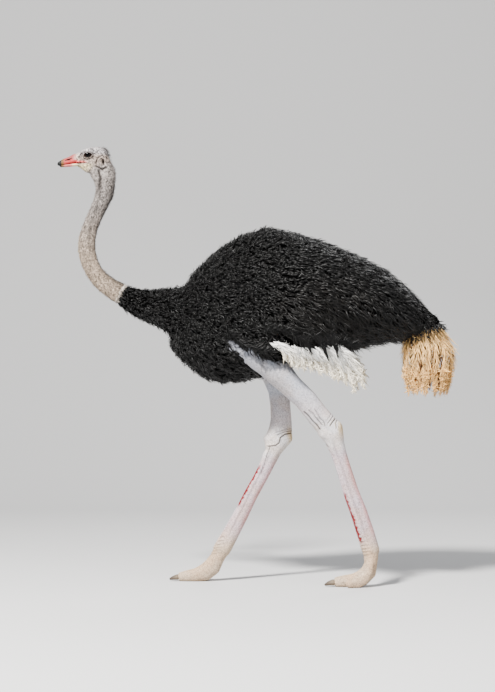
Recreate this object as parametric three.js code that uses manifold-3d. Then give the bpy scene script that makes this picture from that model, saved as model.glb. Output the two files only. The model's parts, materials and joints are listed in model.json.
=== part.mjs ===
// A cock ostrich in mid stride, life size, as a still model parted into named solids.
// Millimetres, +Z up. The bird faces -X and its left side faces -Y.
// Every part of the body is a loft: a smooth centre line with a rounded section that grows and shrinks along it.
// Parts are cut by slightly grown copies of their neighbours, so that they meet with a hairline between them.
import * as THREE from "three";
import { mergeVertices } from "three/addons/utils/BufferGeometryUtils.js";
import Module from "manifold-3d";

const wasm = await Module();
wasm.setup();

// ---------------------------------------------------------------- driving dimensions

const PARTING = 0.3; // hairline between neighbouring solids
const LEFT = -1; // the bird's left is -Y
const RIGHT = 1;

const EYE = { at: [-671, 21.5, 1713], radius: 18 };
const EAR = { at: [-612, 33, 1680], long: 11, high: 16, deep: 9 };
const NOSTRIL = { at: [-750, 16, 1694], long: 15, high: 3.6, deep: 6, slope: 0.3 };

const NECK_PARTS = { skull: 1, upper: 4.5, middle: 7.5, bare: 10 }; // station numbers where the neck is parted
const LEG_PARTS = { thigh: 2.6, shank: 6.35, hock: 8, tarsus: 11.45 }; // and where a leg is

const WING = { from: -118, to: 392, thick: 26, stand: 4, hang: 0.55 };
const PLUMES = { count: 5, wide: 17, deep: 42 };
const TAIL = { count: 8, spread_x: 62, spread_y: 80, wide: 38, deep: 38 };

// ---------------------------------------------------------------- materials

const finish = (color, roughness) => new THREE.MeshStandardMaterial({ color, roughness, metalness: 0 });
const SKIN_GREY = finish(0xb9b4b4, 0.7);
const NECK_DOWN = finish(0xa89c90, 0.9);
const BLACK_PLUMAGE = finish(0x100f10, 0.8);
const WHITE_PLUMAGE = finish(0xf0ece2, 0.85);
const TAN_PLUMAGE = finish(0xc9a87c, 0.85);
const BILL_PINK = finish(0xd08a7c, 0.5);
const HORN = finish(0x6a5a48, 0.45);
const EYE_BROWN = finish(0x1a0f0a, 0.1);

// ---------------------------------------------------------------- solids and meshes

function solidOf(geometry) {
  const bare = geometry.clone();
  for (const name of ["normal", "uv"]) bare.deleteAttribute(name);
  const merged = mergeVertices(bare, 1e-4);
  const triVerts = new Uint32Array(merged.index.array);
  return new wasm.Manifold(
    new wasm.Mesh({ numProp: 3, vertProperties: merged.attributes.position.array, triVerts }),
  );
}

// The geometry of a solid's largest body; crumbs that a cut leaves behind are dropped.
function geometryOf(solid) {
  const bodies = solid.decompose().sort((a, b) => b.volume() - a.volume());
  const mesh = bodies[0].getMesh();
  const stride = mesh.numProp;
  const points = new Float32Array(mesh.numVert * 3);
  for (let i = 0; i < mesh.numVert; i++) {
    points.set(mesh.vertProperties.subarray(i * stride, i * stride + 3), i * 3);
  }
  const geometry = new THREE.BufferGeometry();
  geometry.setAttribute("position", new THREE.BufferAttribute(points, 3));
  geometry.setIndex(new THREE.BufferAttribute(mesh.triVerts, 1));
  return geometry;
}

function cut(solid, ...tools) {
  return tools.reduce((left, tool) => left.subtract(tool), solid);
}

function join(...solids) {
  return solids.reduce((whole, next) => whole.add(next));
}

// ---------------------------------------------------------------- lofts

// A closed surface over rings of points, with a vertex in the middle of each end.
function closedRings(rings, startPole, endPole) {
  const sides = rings[0].length;
  const points = [startPole, ...rings.flat(), endPole];
  const last = points.length - 1;
  const at = (ring, k) => 1 + ring * sides + (k % sides);
  const faces = [];
  for (let k = 0; k < sides; k++) {
    faces.push(0, at(0, k + 1), at(0, k));
    faces.push(last, at(rings.length - 1, k), at(rings.length - 1, k + 1));
    for (let ring = 0; ring < rings.length - 1; ring++) {
      faces.push(at(ring, k), at(ring, k + 1), at(ring + 1, k));
      faces.push(at(ring, k + 1), at(ring + 1, k + 1), at(ring + 1, k));
    }
  }
  const geometry = new THREE.BufferGeometry().setFromPoints(points);
  geometry.setIndex(faces);
  return solidOf(geometry);
}

const signedPower = (value, power) => Math.sign(value) * Math.abs(value) ** power;

// The loft's centre, axes and section at station number n, which may lie between two stations.
// A station is { at: [x, y, z], up, down, wide, blunt, keel }: half sizes towards the bird's back or the
// leg's rear, the other way, and sideways. blunt is 2 for an ellipse, more for a squarer section and less
// for a narrower one; keel is the same for the section's lower half.
// Sections stand square to the centre line, or upright across the body if upright is true.
function tracer(stations, upright) {
  const spline = (pick) => new THREE.CatmullRomCurve3(stations.map((s) => new THREE.Vector3(...pick(s))));
  const path = spline((s) => s.at);
  const sizes = spline((s) => [s.up, s.down ?? s.up, s.wide]);
  const bluntness = spline((s) => [s.blunt ?? 2, s.keel ?? s.blunt ?? 2, 0]);
  return (n) => {
    const t = THREE.MathUtils.clamp(n / (stations.length - 1), 0, 1);
    const along = upright ? new THREE.Vector3(1, 0, 0) : path.getTangent(t);
    const side = new THREE.Vector3(0, 1, 0).addScaledVector(along, -along.y).normalize();
    const dorsal = new THREE.Vector3().crossVectors(along, side);
    const { x: blunt, y: keel } = bluntness.getPoint(t);
    return { centre: path.getPoint(t), along, side, dorsal, size: sizes.getPoint(t), blunt, keel };
  };
}

// One ring of a loft, shrunk by scale and slid along the centre line by ahead.
function sectionRing(section, sides, grow, scale = 1, ahead = 0) {
  const { centre, along, side, dorsal, size, blunt, keel } = section;
  const middle = centre.clone().addScaledVector(along, ahead);
  return Array.from({ length: sides }, (_, k) => {
    const angle = (2 * Math.PI * k) / sides;
    const [reach, power] = Math.sin(angle) >= 0 ? [size.x, 2 / blunt] : [size.y, 2 / keel];
    const across = signedPower(Math.cos(angle), power) * (size.z + grow) * scale;
    const height = signedPower(Math.sin(angle), power) * (reach + grow) * scale;
    return middle.clone().addScaledVector(side, across).addScaledVector(dorsal, height);
  });
}

// A loft from station number `from` to `to`. An end is flat, PARTING / 2 short of its place, or domed
// over the length given.
function loft(stations, options) {
  const { rings, sides, from = 0, to = stations.length - 1, startDome = 0, endDome = 0, grow = 0, upright } = options;
  const trace = tracer(stations, upright);
  const DOME_RINGS = 2;
  const made = [];
  const flatEnd = (dome) => (dome ? 0 : PARTING / 2 - grow);
  const dome = (section, length, direction) => {
    const steps = Array.from({ length: DOME_RINGS }, (_, j) => ((j + 1) / (DOME_RINGS + 1)) * (Math.PI / 2));
    return steps.map((a) => sectionRing(section, sides, grow, Math.cos(a), direction * (length + grow) * Math.sin(a)));
  };
  const first = trace(from);
  const end = trace(to);
  if (startDome) made.push(...dome(first, startDome, -1).reverse());
  for (let i = 0; i <= rings; i++) {
    const ahead = (i === 0 ? flatEnd(startDome) : 0) - (i === rings ? flatEnd(endDome) : 0);
    made.push(sectionRing(trace(from + ((to - from) * i) / rings), sides, grow, 1, ahead));
  }
  if (endDome) made.push(...dome(end, endDome, 1));
  const pole = (section, distance) => section.centre.clone().addScaledVector(section.along, distance);
  const startPole = pole(first, startDome ? -(startDome + grow) : flatEnd(0));
  const endPole = pole(end, endDome ? endDome + grow : -flatEnd(0));
  return closedRings(made, startPole, endPole);
}

function ellipsoid({ at, long, high, deep, slope = 0 }, side, grow = 0) {
  const geometry = new THREE.SphereGeometry(1, 10, 6);
  geometry.scale(long + grow, deep + grow, high + grow);
  geometry.rotateY(slope);
  geometry.translate(at[0], side * at[1], at[2]);
  return solidOf(geometry);
}

// Everything below the floor, to give the soles their flats.
function underground() {
  const SIZE = 4000;
  const geometry = new THREE.BoxGeometry(SIZE, SIZE, SIZE);
  geometry.translate(0, 0, -SIZE / 2);
  return solidOf(geometry);
}

// ---------------------------------------------------------------- trunk

// Upright sections from the breast to the rump: the back line, the belly line and half the width.
const TRUNK_SECTIONS = [
  { x: -350, top: 1050, bottom: 926, wide: 58 },
  { x: -318, top: 1152, bottom: 886, wide: 132 },
  { x: -264, top: 1247, bottom: 843, wide: 182 },
  { x: -196, top: 1316, bottom: 797, wide: 214 },
  { x: -96, top: 1383, bottom: 787, wide: 240 },
  { x: 36, top: 1431, bottom: 812, wide: 254 },
  { x: 196, top: 1397, bottom: 872, wide: 252 },
  { x: 376, top: 1335, bottom: 922, wide: 224 },
  { x: 536, top: 1254, bottom: 960, wide: 180 },
  { x: 636, top: 1168, bottom: 968, wide: 138 },
  { x: 716, top: 1087, bottom: 984, wide: 88 },
];
const WIDEST = 0.47; // the share of a section's height at which it is widest
const trunkStations = TRUNK_SECTIONS.map(({ x, top, bottom, wide }) => {
  const middle = THREE.MathUtils.lerp(bottom, top, WIDEST);
  return { at: [x, 0, middle], up: top - middle, down: middle - bottom, wide, blunt: 2.15, keel: 1.8 };
});
const trunkLoft = (grow = 0) =>
  loft(trunkStations, { rings: 14, sides: 22, startDome: 9, endDome: 34, grow, upright: true });

// The trunk's own section at a given x, for what is laid on its side.
function trunkSection(x) {
  const i = Math.max(1, TRUNK_SECTIONS.findIndex((s) => s.x >= x));
  const [a, b] = [TRUNK_SECTIONS[i - 1], TRUNK_SECTIONS[i]];
  const share = THREE.MathUtils.smoothstep(x, a.x, b.x);
  const mix = (key) => THREE.MathUtils.lerp(a[key], b[key], share);
  return { top: mix("top"), bottom: mix("bottom"), wide: mix("wide") };
}

// How far the flank stands out at (x, z). Below its widest place it is held out by a folded wing.
function flank(x, z) {
  const { top, bottom, wide } = trunkSection(x);
  const middle = THREE.MathUtils.lerp(bottom, top, WIDEST);
  const height = z > middle ? (z - middle) / (top - middle) : (WING.hang * (middle - z)) / (middle - bottom);
  return wide * Math.sqrt(Math.max(0, 1 - height ** 2));
}

// ---------------------------------------------------------------- folded wings

// The folded wing's upper and lower edge, from the wrist back to the tip.
const WING_EDGE = [
  { top: 1068, bottom: 1034 },
  { top: 1146, bottom: 950 },
  { top: 1204, bottom: 904 },
  { top: 1234, bottom: 880 },
  { top: 1230, bottom: 880 },
  { top: 1200, bottom: 896 },
  { top: 1150, bottom: 916 },
  { top: 1084, bottom: 930 },
  { top: 1000, bottom: 950 },
];

// A curved pad that lies along the flank.
function wing(side, grow = 0) {
  const RINGS = 11;
  const SIDES = 14;
  const edges = new THREE.CatmullRomCurve3(WING_EDGE.map(({ top, bottom }) => new THREE.Vector3(top, bottom, 0)));
  const onWing = (t, angle, scale) => {
    const x = THREE.MathUtils.lerp(WING.from - grow, WING.to + grow, t);
    const { x: top, y: bottom } = edges.getPoint(t);
    const z = (top + bottom) / 2 + Math.sin(angle) * ((top - bottom) / 2 + grow) * scale;
    const fullness = Math.sqrt(Math.sin(Math.PI * THREE.MathUtils.lerp(0.06, 0.94, t)));
    const out = flank(x, z) + WING.stand * fullness + Math.cos(angle) * (WING.thick * fullness + grow) * scale;
    return new THREE.Vector3(x, side * out, z);
  };
  const rings = Array.from({ length: RINGS + 1 }, (_, i) =>
    Array.from({ length: SIDES }, (_, k) => onWing(i / RINGS, side * ((2 * Math.PI * k) / SIDES), 1)),
  );
  return closedRings(rings, onWing(0, 0, 0), onWing(1, 0, 0));
}

// The long white plumes fan back and down from under the wing's lower edge.
function wingPlumes(side, grow = 0) {
  const back = side === RIGHT ? 34 : 0; // the right wing's plumes lie a little further back
  const plumes = Array.from({ length: PLUMES.count }, (_, i) => {
    const t = i / (PLUMES.count - 1);
    const root = [THREE.MathUtils.lerp(96, 316, t) + back, 944];
    const tip = [THREE.MathUtils.lerp(262, 436, t) + back, THREE.MathUtils.lerp(856, 800, t) - 34 * Math.sin(Math.PI * t)];
    const middle = [(root[0] + tip[0]) / 2 + 8, (root[1] + tip[1]) / 2 + 12];
    const out = [root, middle, tip].map(([x, z]) => side * (flank(x, Math.max(z, 930)) - 14 + 7 * (i % 2)));
    const shape = [
      { at: [root[0], out[0], root[1]], up: PLUMES.deep * 0.6, wide: PLUMES.wide },
      { at: [middle[0], out[1], middle[1]], up: PLUMES.deep, wide: PLUMES.wide * 1.1 },
      { at: [tip[0], out[2] * 0.97, tip[1]], up: PLUMES.deep * 0.8, wide: PLUMES.wide },
    ];
    return loft(shape, { rings: 3, sides: 6, endDome: 22, grow });
  });
  return join(...plumes);
}

// ---------------------------------------------------------------- tail

// Drooping plumes round the tail's root, fuller in the middle of their length.
function tail(grow = 0) {
  const plume = (x, y, drop) => {
    const shape = [
      { at: [668 + x * 0.7, y * 0.6, 1030], up: TAIL.deep * 0.7, wide: TAIL.wide * 0.7 },
      { at: [692 + x, y, 930], up: TAIL.deep, wide: TAIL.wide },
      { at: [686 + x, y * 1.05, 840], up: TAIL.deep * 1.05, wide: TAIL.wide * 1.05 },
      { at: [676 + x * 0.95, y, 778 - drop], up: TAIL.deep * 0.8, wide: TAIL.wide * 0.8 },
    ];
    return loft(shape, { rings: 3, sides: 6, endDome: 20, grow });
  };
  const ring = Array.from({ length: TAIL.count }, (_, i) => {
    const angle = (2 * Math.PI * i) / TAIL.count;
    return plume(TAIL.spread_x * Math.cos(angle), TAIL.spread_y * Math.sin(angle), 8 * Math.cos(3 * angle));
  });
  return join(plume(0, 22, 0), plume(0, -22, 4), ...ring);
}

// ---------------------------------------------------------------- neck and head

const NECK = [
  { at: [-630, 0, 1693], up: 45, down: 42, wide: 33 },
  { at: [-614, 0, 1643], up: 49, down: 50, wide: 33 },
  { at: [-604, 0, 1603], up: 42, down: 40, wide: 33 },
  { at: [-605, 0, 1563], up: 39, wide: 32 },
  { at: [-621, 0, 1520], up: 33, wide: 31 },
  { at: [-652, 0, 1455], up: 31, wide: 30 },
  { at: [-675, 0, 1383], up: 34, wide: 31 },
  { at: [-674, 0, 1317], up: 35, wide: 32 },
  { at: [-651, 0, 1253], up: 35, wide: 33 },
  { at: [-606, 0, 1201], up: 38, wide: 36 },
  { at: [-540, 0, 1160], up: 43, wide: 42 },
  { at: [-500, 0, 1137], up: 58, wide: 57 },
  { at: [-440, 0, 1115], up: 73, wide: 74 },
  { at: [-364, 0, 1101], up: 94, wide: 104 },
  { at: [-270, 0, 1085], up: 128, wide: 132 },
];
const neckPart = (from, to, rings, grow = 0) => loft(NECK, { from, to, rings, sides: 16, grow });

// Upright sections of the skull from the bill's root to the nape.
const SKULL = [
  { at: [-716, 0, 1696], up: 25, down: 26, wide: 25.5, blunt: 2.3 },
  { at: [-696, 0, 1703], up: 31, down: 38, wide: 31, blunt: 2.2 },
  { at: [-671, 0, 1709], up: 36, down: 53, wide: 37, blunt: 2.2 },
  { at: [-644, 0, 1709], up: 40, down: 60, wide: 37.5, blunt: 2.1 },
  { at: [-616, 0, 1706], up: 42, down: 52, wide: 36, blunt: 2.1 },
  { at: [-594, 0, 1699], up: 40, down: 42, wide: 33 },
];
const skull = (grow = 0) => loft(SKULL, { rings: 8, sides: 16, endDome: 17, grow, upright: true });

const UPPER_BILL = [
  { at: [-784, 0, 1681], up: 12, down: 10, wide: 10, blunt: 2.2 },
  { at: [-760, 0, 1685], up: 16, down: 9, wide: 17, blunt: 2.3 },
  { at: [-736, 0, 1689], up: 22, down: 9.5, wide: 22, blunt: 2.3 },
  { at: [-716, 0, 1695], up: 26, down: 14, wide: 26, blunt: 2.3 },
];
const LOWER_BILL = [
  { at: [-777, 0, 1670], up: 5, down: 4, wide: 9 },
  { at: [-756, 0, 1672], up: 6, down: 5, wide: 16 },
  { at: [-734, 0, 1674], up: 7, down: 6, wide: 21.5 },
  { at: [-716, 0, 1676], up: 8, down: 7, wide: 25.5 },
];
const upperBill = (grow = 0) => loft(UPPER_BILL, { rings: 4, sides: 12, startDome: 11, grow });
const lowerBill = () => loft(LOWER_BILL, { rings: 4, sides: 12, startDome: 8 });

function eye(side, grow = 0) {
  const geometry = new THREE.SphereGeometry(EYE.radius + grow, 12, 8);
  geometry.rotateX(Math.PI / 2);
  geometry.translate(EYE.at[0], side * EYE.at[1], EYE.at[2]);
  return solidOf(geometry);
}

// ---------------------------------------------------------------- legs and feet

// Each leg from the hip down to the toe joint. y is how far it stands from the midline.
const LEFT_LEG = [
  { at: [-6, 100, 1050], up: 118, wide: 66 },
  { at: [24, 148, 955], up: 108, wide: 82 },
  { at: [72, 162, 879], up: 71, wide: 70 },
  { at: [114, 158, 811], up: 48, wide: 56 },
  { at: [176, 150, 763], up: 46, wide: 48 },
  { at: [220, 141, 706], up: 45, wide: 42 },
  { at: [262, 132, 655], up: 46, wide: 38 },
  { at: [297, 124, 614], up: 46, down: 45, wide: 39, blunt: 2.3 },
  { at: [315, 119, 564], up: 35, down: 38, wide: 32 },
  { at: [338, 115, 502], up: 27, down: 32, wide: 24 },
  { at: [375, 110, 383], up: 29, down: 35, wide: 23 },
  { at: [419, 105, 264], up: 33, down: 37, wide: 25 },
  { at: [454, 100, 141], up: 36, wide: 31 },
];
const RIGHT_LEG = [
  { at: [14, 100, 1050], up: 118, wide: 66 },
  { at: [46, 144, 950], up: 102, wide: 82 },
  { at: [72, 150, 870], up: 74, wide: 70 },
  { at: [90, 140, 800], up: 50, wide: 54 },
  { at: [98, 134, 735], up: 42, wide: 47 },
  { at: [100, 129, 680], up: 42, wide: 42 },
  { at: [103, 125, 630], up: 46, wide: 39 },
  { at: [92, 120, 580], up: 51, down: 52, wide: 39, blunt: 2.3 },
  { at: [68, 117, 528], up: 37, down: 37, wide: 32 },
  { at: [37, 113, 455], up: 30, down: 27, wide: 24 },
  { at: [-18, 109, 355], up: 30, down: 28, wide: 23 },
  { at: [-76, 106, 240], up: 33, down: 30, wide: 25 },
  { at: [-138, 104, 128], up: 37, wide: 31 },
];
const flip = (stations, side) => stations.map((s) => ({ ...s, at: [s.at[0], side * s.at[1], s.at[2]] }));

// The long inner toe and the short outer one of each foot, from the joint to the root of the claw.
const LEFT_FOOT = {
  inner: [
    { at: [455, 100, 122], up: 31, down: 32, wide: 29 },
    { at: [452, 101, 84], up: 27, down: 26, wide: 26 },
    { at: [435, 102, 50], up: 40, down: 31, wide: 30 },
    { at: [398, 104, 28], up: 34, down: 28, wide: 31, blunt: 2.3 },
    { at: [352, 107, 21], up: 25, wide: 29, blunt: 2.4 },
    { at: [316, 109, 18], up: 20, wide: 22, blunt: 2.3 },
  ],
  outer: [
    { at: [449, 122, 92], up: 17, wide: 15 },
    { at: [438, 134, 50], up: 24, down: 19, wide: 16 },
    { at: [406, 147, 24], up: 27, down: 21, wide: 18, blunt: 2.3 },
    { at: [364, 159, 16], up: 17, wide: 16, blunt: 2.3 },
  ],
  claw: [
    { at: [306, 109.5, 17], up: 13, wide: 14 },
    { at: [290, 110, 14], up: 10, wide: 10 },
    { at: [276, 111, 9], up: 6, wide: 5 },
  ],
};
const RIGHT_FOOT = {
  inner: [
    { at: [-146, 104, 114], up: 31, down: 33, wide: 29 },
    { at: [-164, 104, 84], up: 34, down: 30, wide: 27 },
    { at: [-190, 105, 52], up: 45, down: 33, wide: 30 },
    { at: [-230, 106, 29], up: 35, down: 28, wide: 31, blunt: 2.3 },
    { at: [-275, 108, 22], up: 26, down: 23, wide: 29, blunt: 2.4 },
    { at: [-306, 109, 18], up: 21, down: 17, wide: 22, blunt: 2.3 },
  ],
  outer: [
    { at: [-162, 124, 90], up: 17, wide: 15 },
    { at: [-180, 135, 52], up: 26, down: 19, wide: 16 },
    { at: [-215, 147, 25], up: 28, down: 20, wide: 18, blunt: 2.3 },
    { at: [-256, 159, 16], up: 17, wide: 16, blunt: 2.3 },
  ],
  claw: [
    { at: [-316, 109.5, 16], up: 12, wide: 14 },
    { at: [-331, 110, 13], up: 9.5, wide: 10 },
    { at: [-344, 111, 9], up: 6, wide: 5 },
  ],
};

// ---------------------------------------------------------------- assembly

const group = new THREE.Group();

function add(name, solid, material) {
  const mesh = new THREE.Mesh(geometryOf(solid), material);
  mesh.name = name;
  group.add(mesh);
}

function addHead() {
  const neckTop = neckPart(0, NECK_PARTS.skull, 3);
  const tools = [LEFT, RIGHT].flatMap((side) => [eye(side, PARTING), ellipsoid(EAR, side)]);
  add("head", cut(join(skull(), neckTop), ...tools), NECK_DOWN);
  const nostrils = [LEFT, RIGHT].map((side) => ellipsoid(NOSTRIL, side));
  add("bill_upper", cut(upperBill(), skull(PARTING), ...nostrils), BILL_PINK);
  add("bill_lower", cut(lowerBill(), skull(PARTING), upperBill(PARTING)), BILL_PINK);
  add("eye_left", eye(LEFT), EYE_BROWN);
  add("eye_right", eye(RIGHT), EYE_BROWN);
}

function addNeck() {
  const { skull: top, upper, middle, bare } = NECK_PARTS;
  add("neck_upper", cut(neckPart(top, upper, 5), skull(PARTING)), NECK_DOWN);
  add("neck_middle", neckPart(upper, middle, 4), NECK_DOWN);
  add("neck_lower", neckPart(middle, bare, 4), NECK_DOWN);
  add("neck_base", cut(neckPart(bare, NECK.length - 1, 5), trunkLoft(PARTING)), BLACK_PLUMAGE);
}

function addTrunk() {
  const wings = [LEFT, RIGHT].map((side) => wing(side, PARTING));
  add("trunk", cut(trunkLoft(), ...wings), BLACK_PLUMAGE);
  add("tail_plumes", cut(tail(), trunkLoft(PARTING)), TAN_PLUMAGE);
}

function addSide(word, side, legStations, foot, floor) {
  const leg = flip(legStations, side);
  const covers = [trunkLoft(PARTING), wing(side, PARTING)];
  add(`wing_${word}`, wing(side), BLACK_PLUMAGE);

  const { thigh, shank, hock, tarsus } = LEG_PARTS;
  const thighLoft = (grow = 0) => loft(leg, { from: 0, to: thigh, rings: 4, sides: 14, grow });
  const shankLoft = (grow = 0) => loft(leg, { from: thigh, to: shank, rings: 4, sides: 12, grow });
  add(`thigh_${word}`, cut(thighLoft(), ...covers), SKIN_GREY);
  add(`shank_${word}`, cut(shankLoft(), ...covers), SKIN_GREY);
  add(`hock_${word}`, loft(leg, { from: shank, to: hock, rings: 4, sides: 12 }), SKIN_GREY);
  add(`tarsus_${word}`, loft(leg, { from: hock, to: tarsus, rings: 5, sides: 12 }), SKIN_GREY);
  const plumes = cut(wingPlumes(side), ...covers, thighLoft(PARTING), shankLoft(PARTING));
  add(`wing_plumes_${word}`, plumes, WHITE_PLUMAGE);

  const inner = (grow = 0) => loft(flip(foot.inner, side), { rings: 6, sides: 10, startDome: 20, endDome: 12, grow });
  const outer = loft(flip(foot.outer, side), { rings: 4, sides: 8, startDome: 10, endDome: 14 });
  const claw = loft(flip(foot.claw, side), { rings: 3, sides: 8, startDome: 6, endDome: 7 });
  const joint = loft(leg, { from: tarsus, to: leg.length - 1, rings: 2, sides: 12, endDome: 30 });
  const grownJoint = loft(leg, { from: tarsus, to: leg.length - 1, rings: 2, sides: 12, endDome: 30, grow: PARTING });
  const grownClaw = loft(flip(foot.claw, side), { rings: 3, sides: 8, startDome: 6, endDome: 7, grow: PARTING });
  add(`foot_${word}`, joint, SKIN_GREY);
  add(`toe_inner_${word}`, cut(inner(), grownJoint, grownClaw, floor), SKIN_GREY);
  add(`toe_outer_${word}`, cut(outer, grownJoint, inner(PARTING), floor), SKIN_GREY);
  add(`claw_${word}`, cut(claw, floor), HORN);
}

const floor = underground();
addHead();
addNeck();
addTrunk();
addSide("left", LEFT, LEFT_LEG, LEFT_FOOT, floor);
addSide("right", RIGHT, RIGHT_LEG, RIGHT_FOOT, floor);

// The origin is on the floor, under the middle of the whole bird.
const box = new THREE.Box3().setFromObject(group);
const middle = box.getCenter(new THREE.Vector3());
group.position.set(-middle.x, -middle.y, -box.min.z);

export default group;
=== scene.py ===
# %% [markdown]
# # A cock ostrich in mid stride
# This lesson dresses a plain CAD model of an ostrich, solid by solid, until it looks like the living
# bird. The CAD model is the frame: it says where every part is and how big it is, and nothing here moves
# it.

# %% Load the frame
import json
import math
import random

import bmesh
import bpy
import numpy as np
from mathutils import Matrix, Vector
from mathutils.bvhtree import BVHTree

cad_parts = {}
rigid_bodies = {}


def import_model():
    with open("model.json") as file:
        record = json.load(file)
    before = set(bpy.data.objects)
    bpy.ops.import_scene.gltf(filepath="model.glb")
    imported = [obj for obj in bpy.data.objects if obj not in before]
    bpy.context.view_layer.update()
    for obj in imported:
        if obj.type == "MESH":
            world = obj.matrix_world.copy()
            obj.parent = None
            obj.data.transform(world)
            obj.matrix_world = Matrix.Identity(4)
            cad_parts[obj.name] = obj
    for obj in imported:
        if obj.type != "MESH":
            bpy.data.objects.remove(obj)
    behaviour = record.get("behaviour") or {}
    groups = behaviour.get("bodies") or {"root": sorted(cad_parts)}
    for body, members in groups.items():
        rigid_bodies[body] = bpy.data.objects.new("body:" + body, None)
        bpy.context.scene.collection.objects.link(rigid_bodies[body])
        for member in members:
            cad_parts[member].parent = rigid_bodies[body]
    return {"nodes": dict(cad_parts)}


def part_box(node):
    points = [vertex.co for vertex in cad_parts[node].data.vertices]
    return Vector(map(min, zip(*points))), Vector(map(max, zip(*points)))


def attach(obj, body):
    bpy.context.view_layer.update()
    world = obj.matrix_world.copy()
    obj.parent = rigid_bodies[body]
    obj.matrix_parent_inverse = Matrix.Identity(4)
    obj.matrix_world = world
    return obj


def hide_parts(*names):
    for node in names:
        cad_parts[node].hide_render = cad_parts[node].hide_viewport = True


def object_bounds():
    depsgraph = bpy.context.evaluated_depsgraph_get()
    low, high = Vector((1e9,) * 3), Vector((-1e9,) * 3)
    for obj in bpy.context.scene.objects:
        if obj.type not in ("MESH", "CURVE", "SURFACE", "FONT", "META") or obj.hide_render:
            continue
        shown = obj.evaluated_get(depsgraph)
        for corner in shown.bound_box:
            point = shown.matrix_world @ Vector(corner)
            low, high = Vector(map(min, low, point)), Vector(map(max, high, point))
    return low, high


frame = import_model()
CAD_BOX = [list(corner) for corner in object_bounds()]
print("CAD box, in metres:", [[round(v, 3) for v in corner] for corner in CAD_BOX])

# %% [markdown]
# Landmarks come from the frame. Each CAD part has a box, and the middle of that box is a good place to
# measure from: the eye for all of the face, and the parts of the neck for the line the feathers follow.

# %% Landmarks
SIDES = {"left": -1, "right": 1}


def middle(node):
    low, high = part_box(node)
    return (np.array(low) + np.array(high)) / 2


EYE = middle("eye_left")
EYE_RADIUS = (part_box("eye_left")[1][2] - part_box("eye_left")[0][2]) / 2
EYE_OUT = abs(EYE[1])
print("eye at", EYE.round(3), "radius", round(EYE_RADIUS, 4))

# %% [markdown]
# ## Camera
# A short lens close by would swell whatever is nearest to it. A long lens from far away keeps the bird's
# proportions true. It stands level, a little over half as high as the bird, and looks at its left side.

# %% Camera
CAMERA_LENS = 117.05
CAMERA_PLACE = (-0.0298, -9.0, 0.951)


def new_object(name, data):
    obj = bpy.data.objects.new(name, data)
    bpy.context.scene.collection.objects.link(obj)
    return obj


camera = new_object("camera", bpy.data.cameras.new("camera"))
camera.data.lens = CAMERA_LENS
camera.data.sensor_width = 36.0
camera.data.clip_end = 100.0
camera.location = CAMERA_PLACE
camera.rotation_euler = (math.radians(90), 0, 0)
bpy.context.scene.camera = camera
print("camera", camera.location[:], "lens", camera.data.lens)

# %% [markdown]
# ## Studio
# Black feathers show only by their gloss, so a big soft lamp high on the camera's side draws a glint on
# each curl, and a weaker one opposite opens the shadows. A flat floor and a wall would meet in a line
# behind the bird, so the floor sweeps up in one curve instead, as paper does in a studio.

# %% Floor and backdrop
FLOOR_HALF_WIDTH = 12.0
FLOOR_FRONT = -9.0
SWEEP_START = 4.0
SWEEP_RADIUS = 3.0
SWEEP_TOP = 9.0
SWEEP_STEPS = 24
PAPER_GREY = (0.50, 0.50, 0.50, 1)


def sweep_profile():
    points = [(FLOOR_FRONT, 0.0), (SWEEP_START, 0.0)]
    for i in range(1, SWEEP_STEPS + 1):
        angle = math.pi / 2 * i / SWEEP_STEPS
        points.append((SWEEP_START + SWEEP_RADIUS * math.sin(angle), SWEEP_RADIUS * (1 - math.cos(angle))))
    return points + [(SWEEP_START + SWEEP_RADIUS, SWEEP_TOP)]


def new_mesh(name, points, edges, faces):
    mesh = bpy.data.meshes.new(name)
    mesh.from_pydata([tuple(point) for point in points], edges, faces)
    return mesh


def new_material(name, roughness, **settings):
    """A material, its node tree and its shader. A setting is named as its socket, with _ for each space."""
    material = bpy.data.materials.new(name)
    material.use_nodes = True
    shader = material.node_tree.nodes["Principled BSDF"]
    shader.inputs["Roughness"].default_value = roughness
    for key, value in settings.items():
        shader.inputs[key.replace("_", " ")].default_value = value
    return material, material.node_tree, shader


profile = sweep_profile()
floor_points = [(x, y, z) for y, z in profile for x in (-FLOOR_HALF_WIDTH, FLOOR_HALF_WIDTH)]
floor_faces = [(2 * i, 2 * i + 1, 2 * i + 3, 2 * i + 2) for i in range(len(profile) - 1)]
floor_mesh = new_mesh("studio_floor", floor_points, [], floor_faces)
floor_mesh.shade_smooth()
floor_mesh.materials.append(new_material("studio_paper", 0.9, Base_Color=PAPER_GREY)[0])
studio_floor = new_object("studio_floor", floor_mesh)
print("floor faces:", len(floor_faces))

# %% Lamps and sky
LAMPS = {
    # place and width in metres, power in watts, and colour
    "key_lamp": ((-2.5, -4.3, 5.6), 1.1, 2500, (1, 0.98, 0.95)),
    "fill_lamp": ((4.2, -4.4, 2.2), 3.0, 170, (0.95, 0.97, 1)),
    "rim_lamp": ((1.8, 4.2, 4.2), 2.0, 160, (1, 1, 1)),
}
BIRD_MIDDLE = Vector((0, 0, 1.0))
SKY = {"Color": (0.86, 0.90, 1.0, 1), "Strength": 0.25}

for name, (place, width, power, color) in LAMPS.items():
    lamp = new_object(name, bpy.data.lights.new(name, "AREA"))
    lamp.data.shape = "DISK"
    lamp.data.size = width
    lamp.data.energy = power
    lamp.data.color = color
    lamp.location = place
    lamp.rotation_euler = (BIRD_MIDDLE - Vector(place)).to_track_quat("-Z", "Y").to_euler()
world = bpy.data.worlds.new("sky")
world.use_nodes = True
for key, value in SKY.items():
    world.node_tree.nodes["Background"].inputs[key].default_value = value
bpy.context.scene.world = world
print("lamps:", list(LAMPS))

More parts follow.
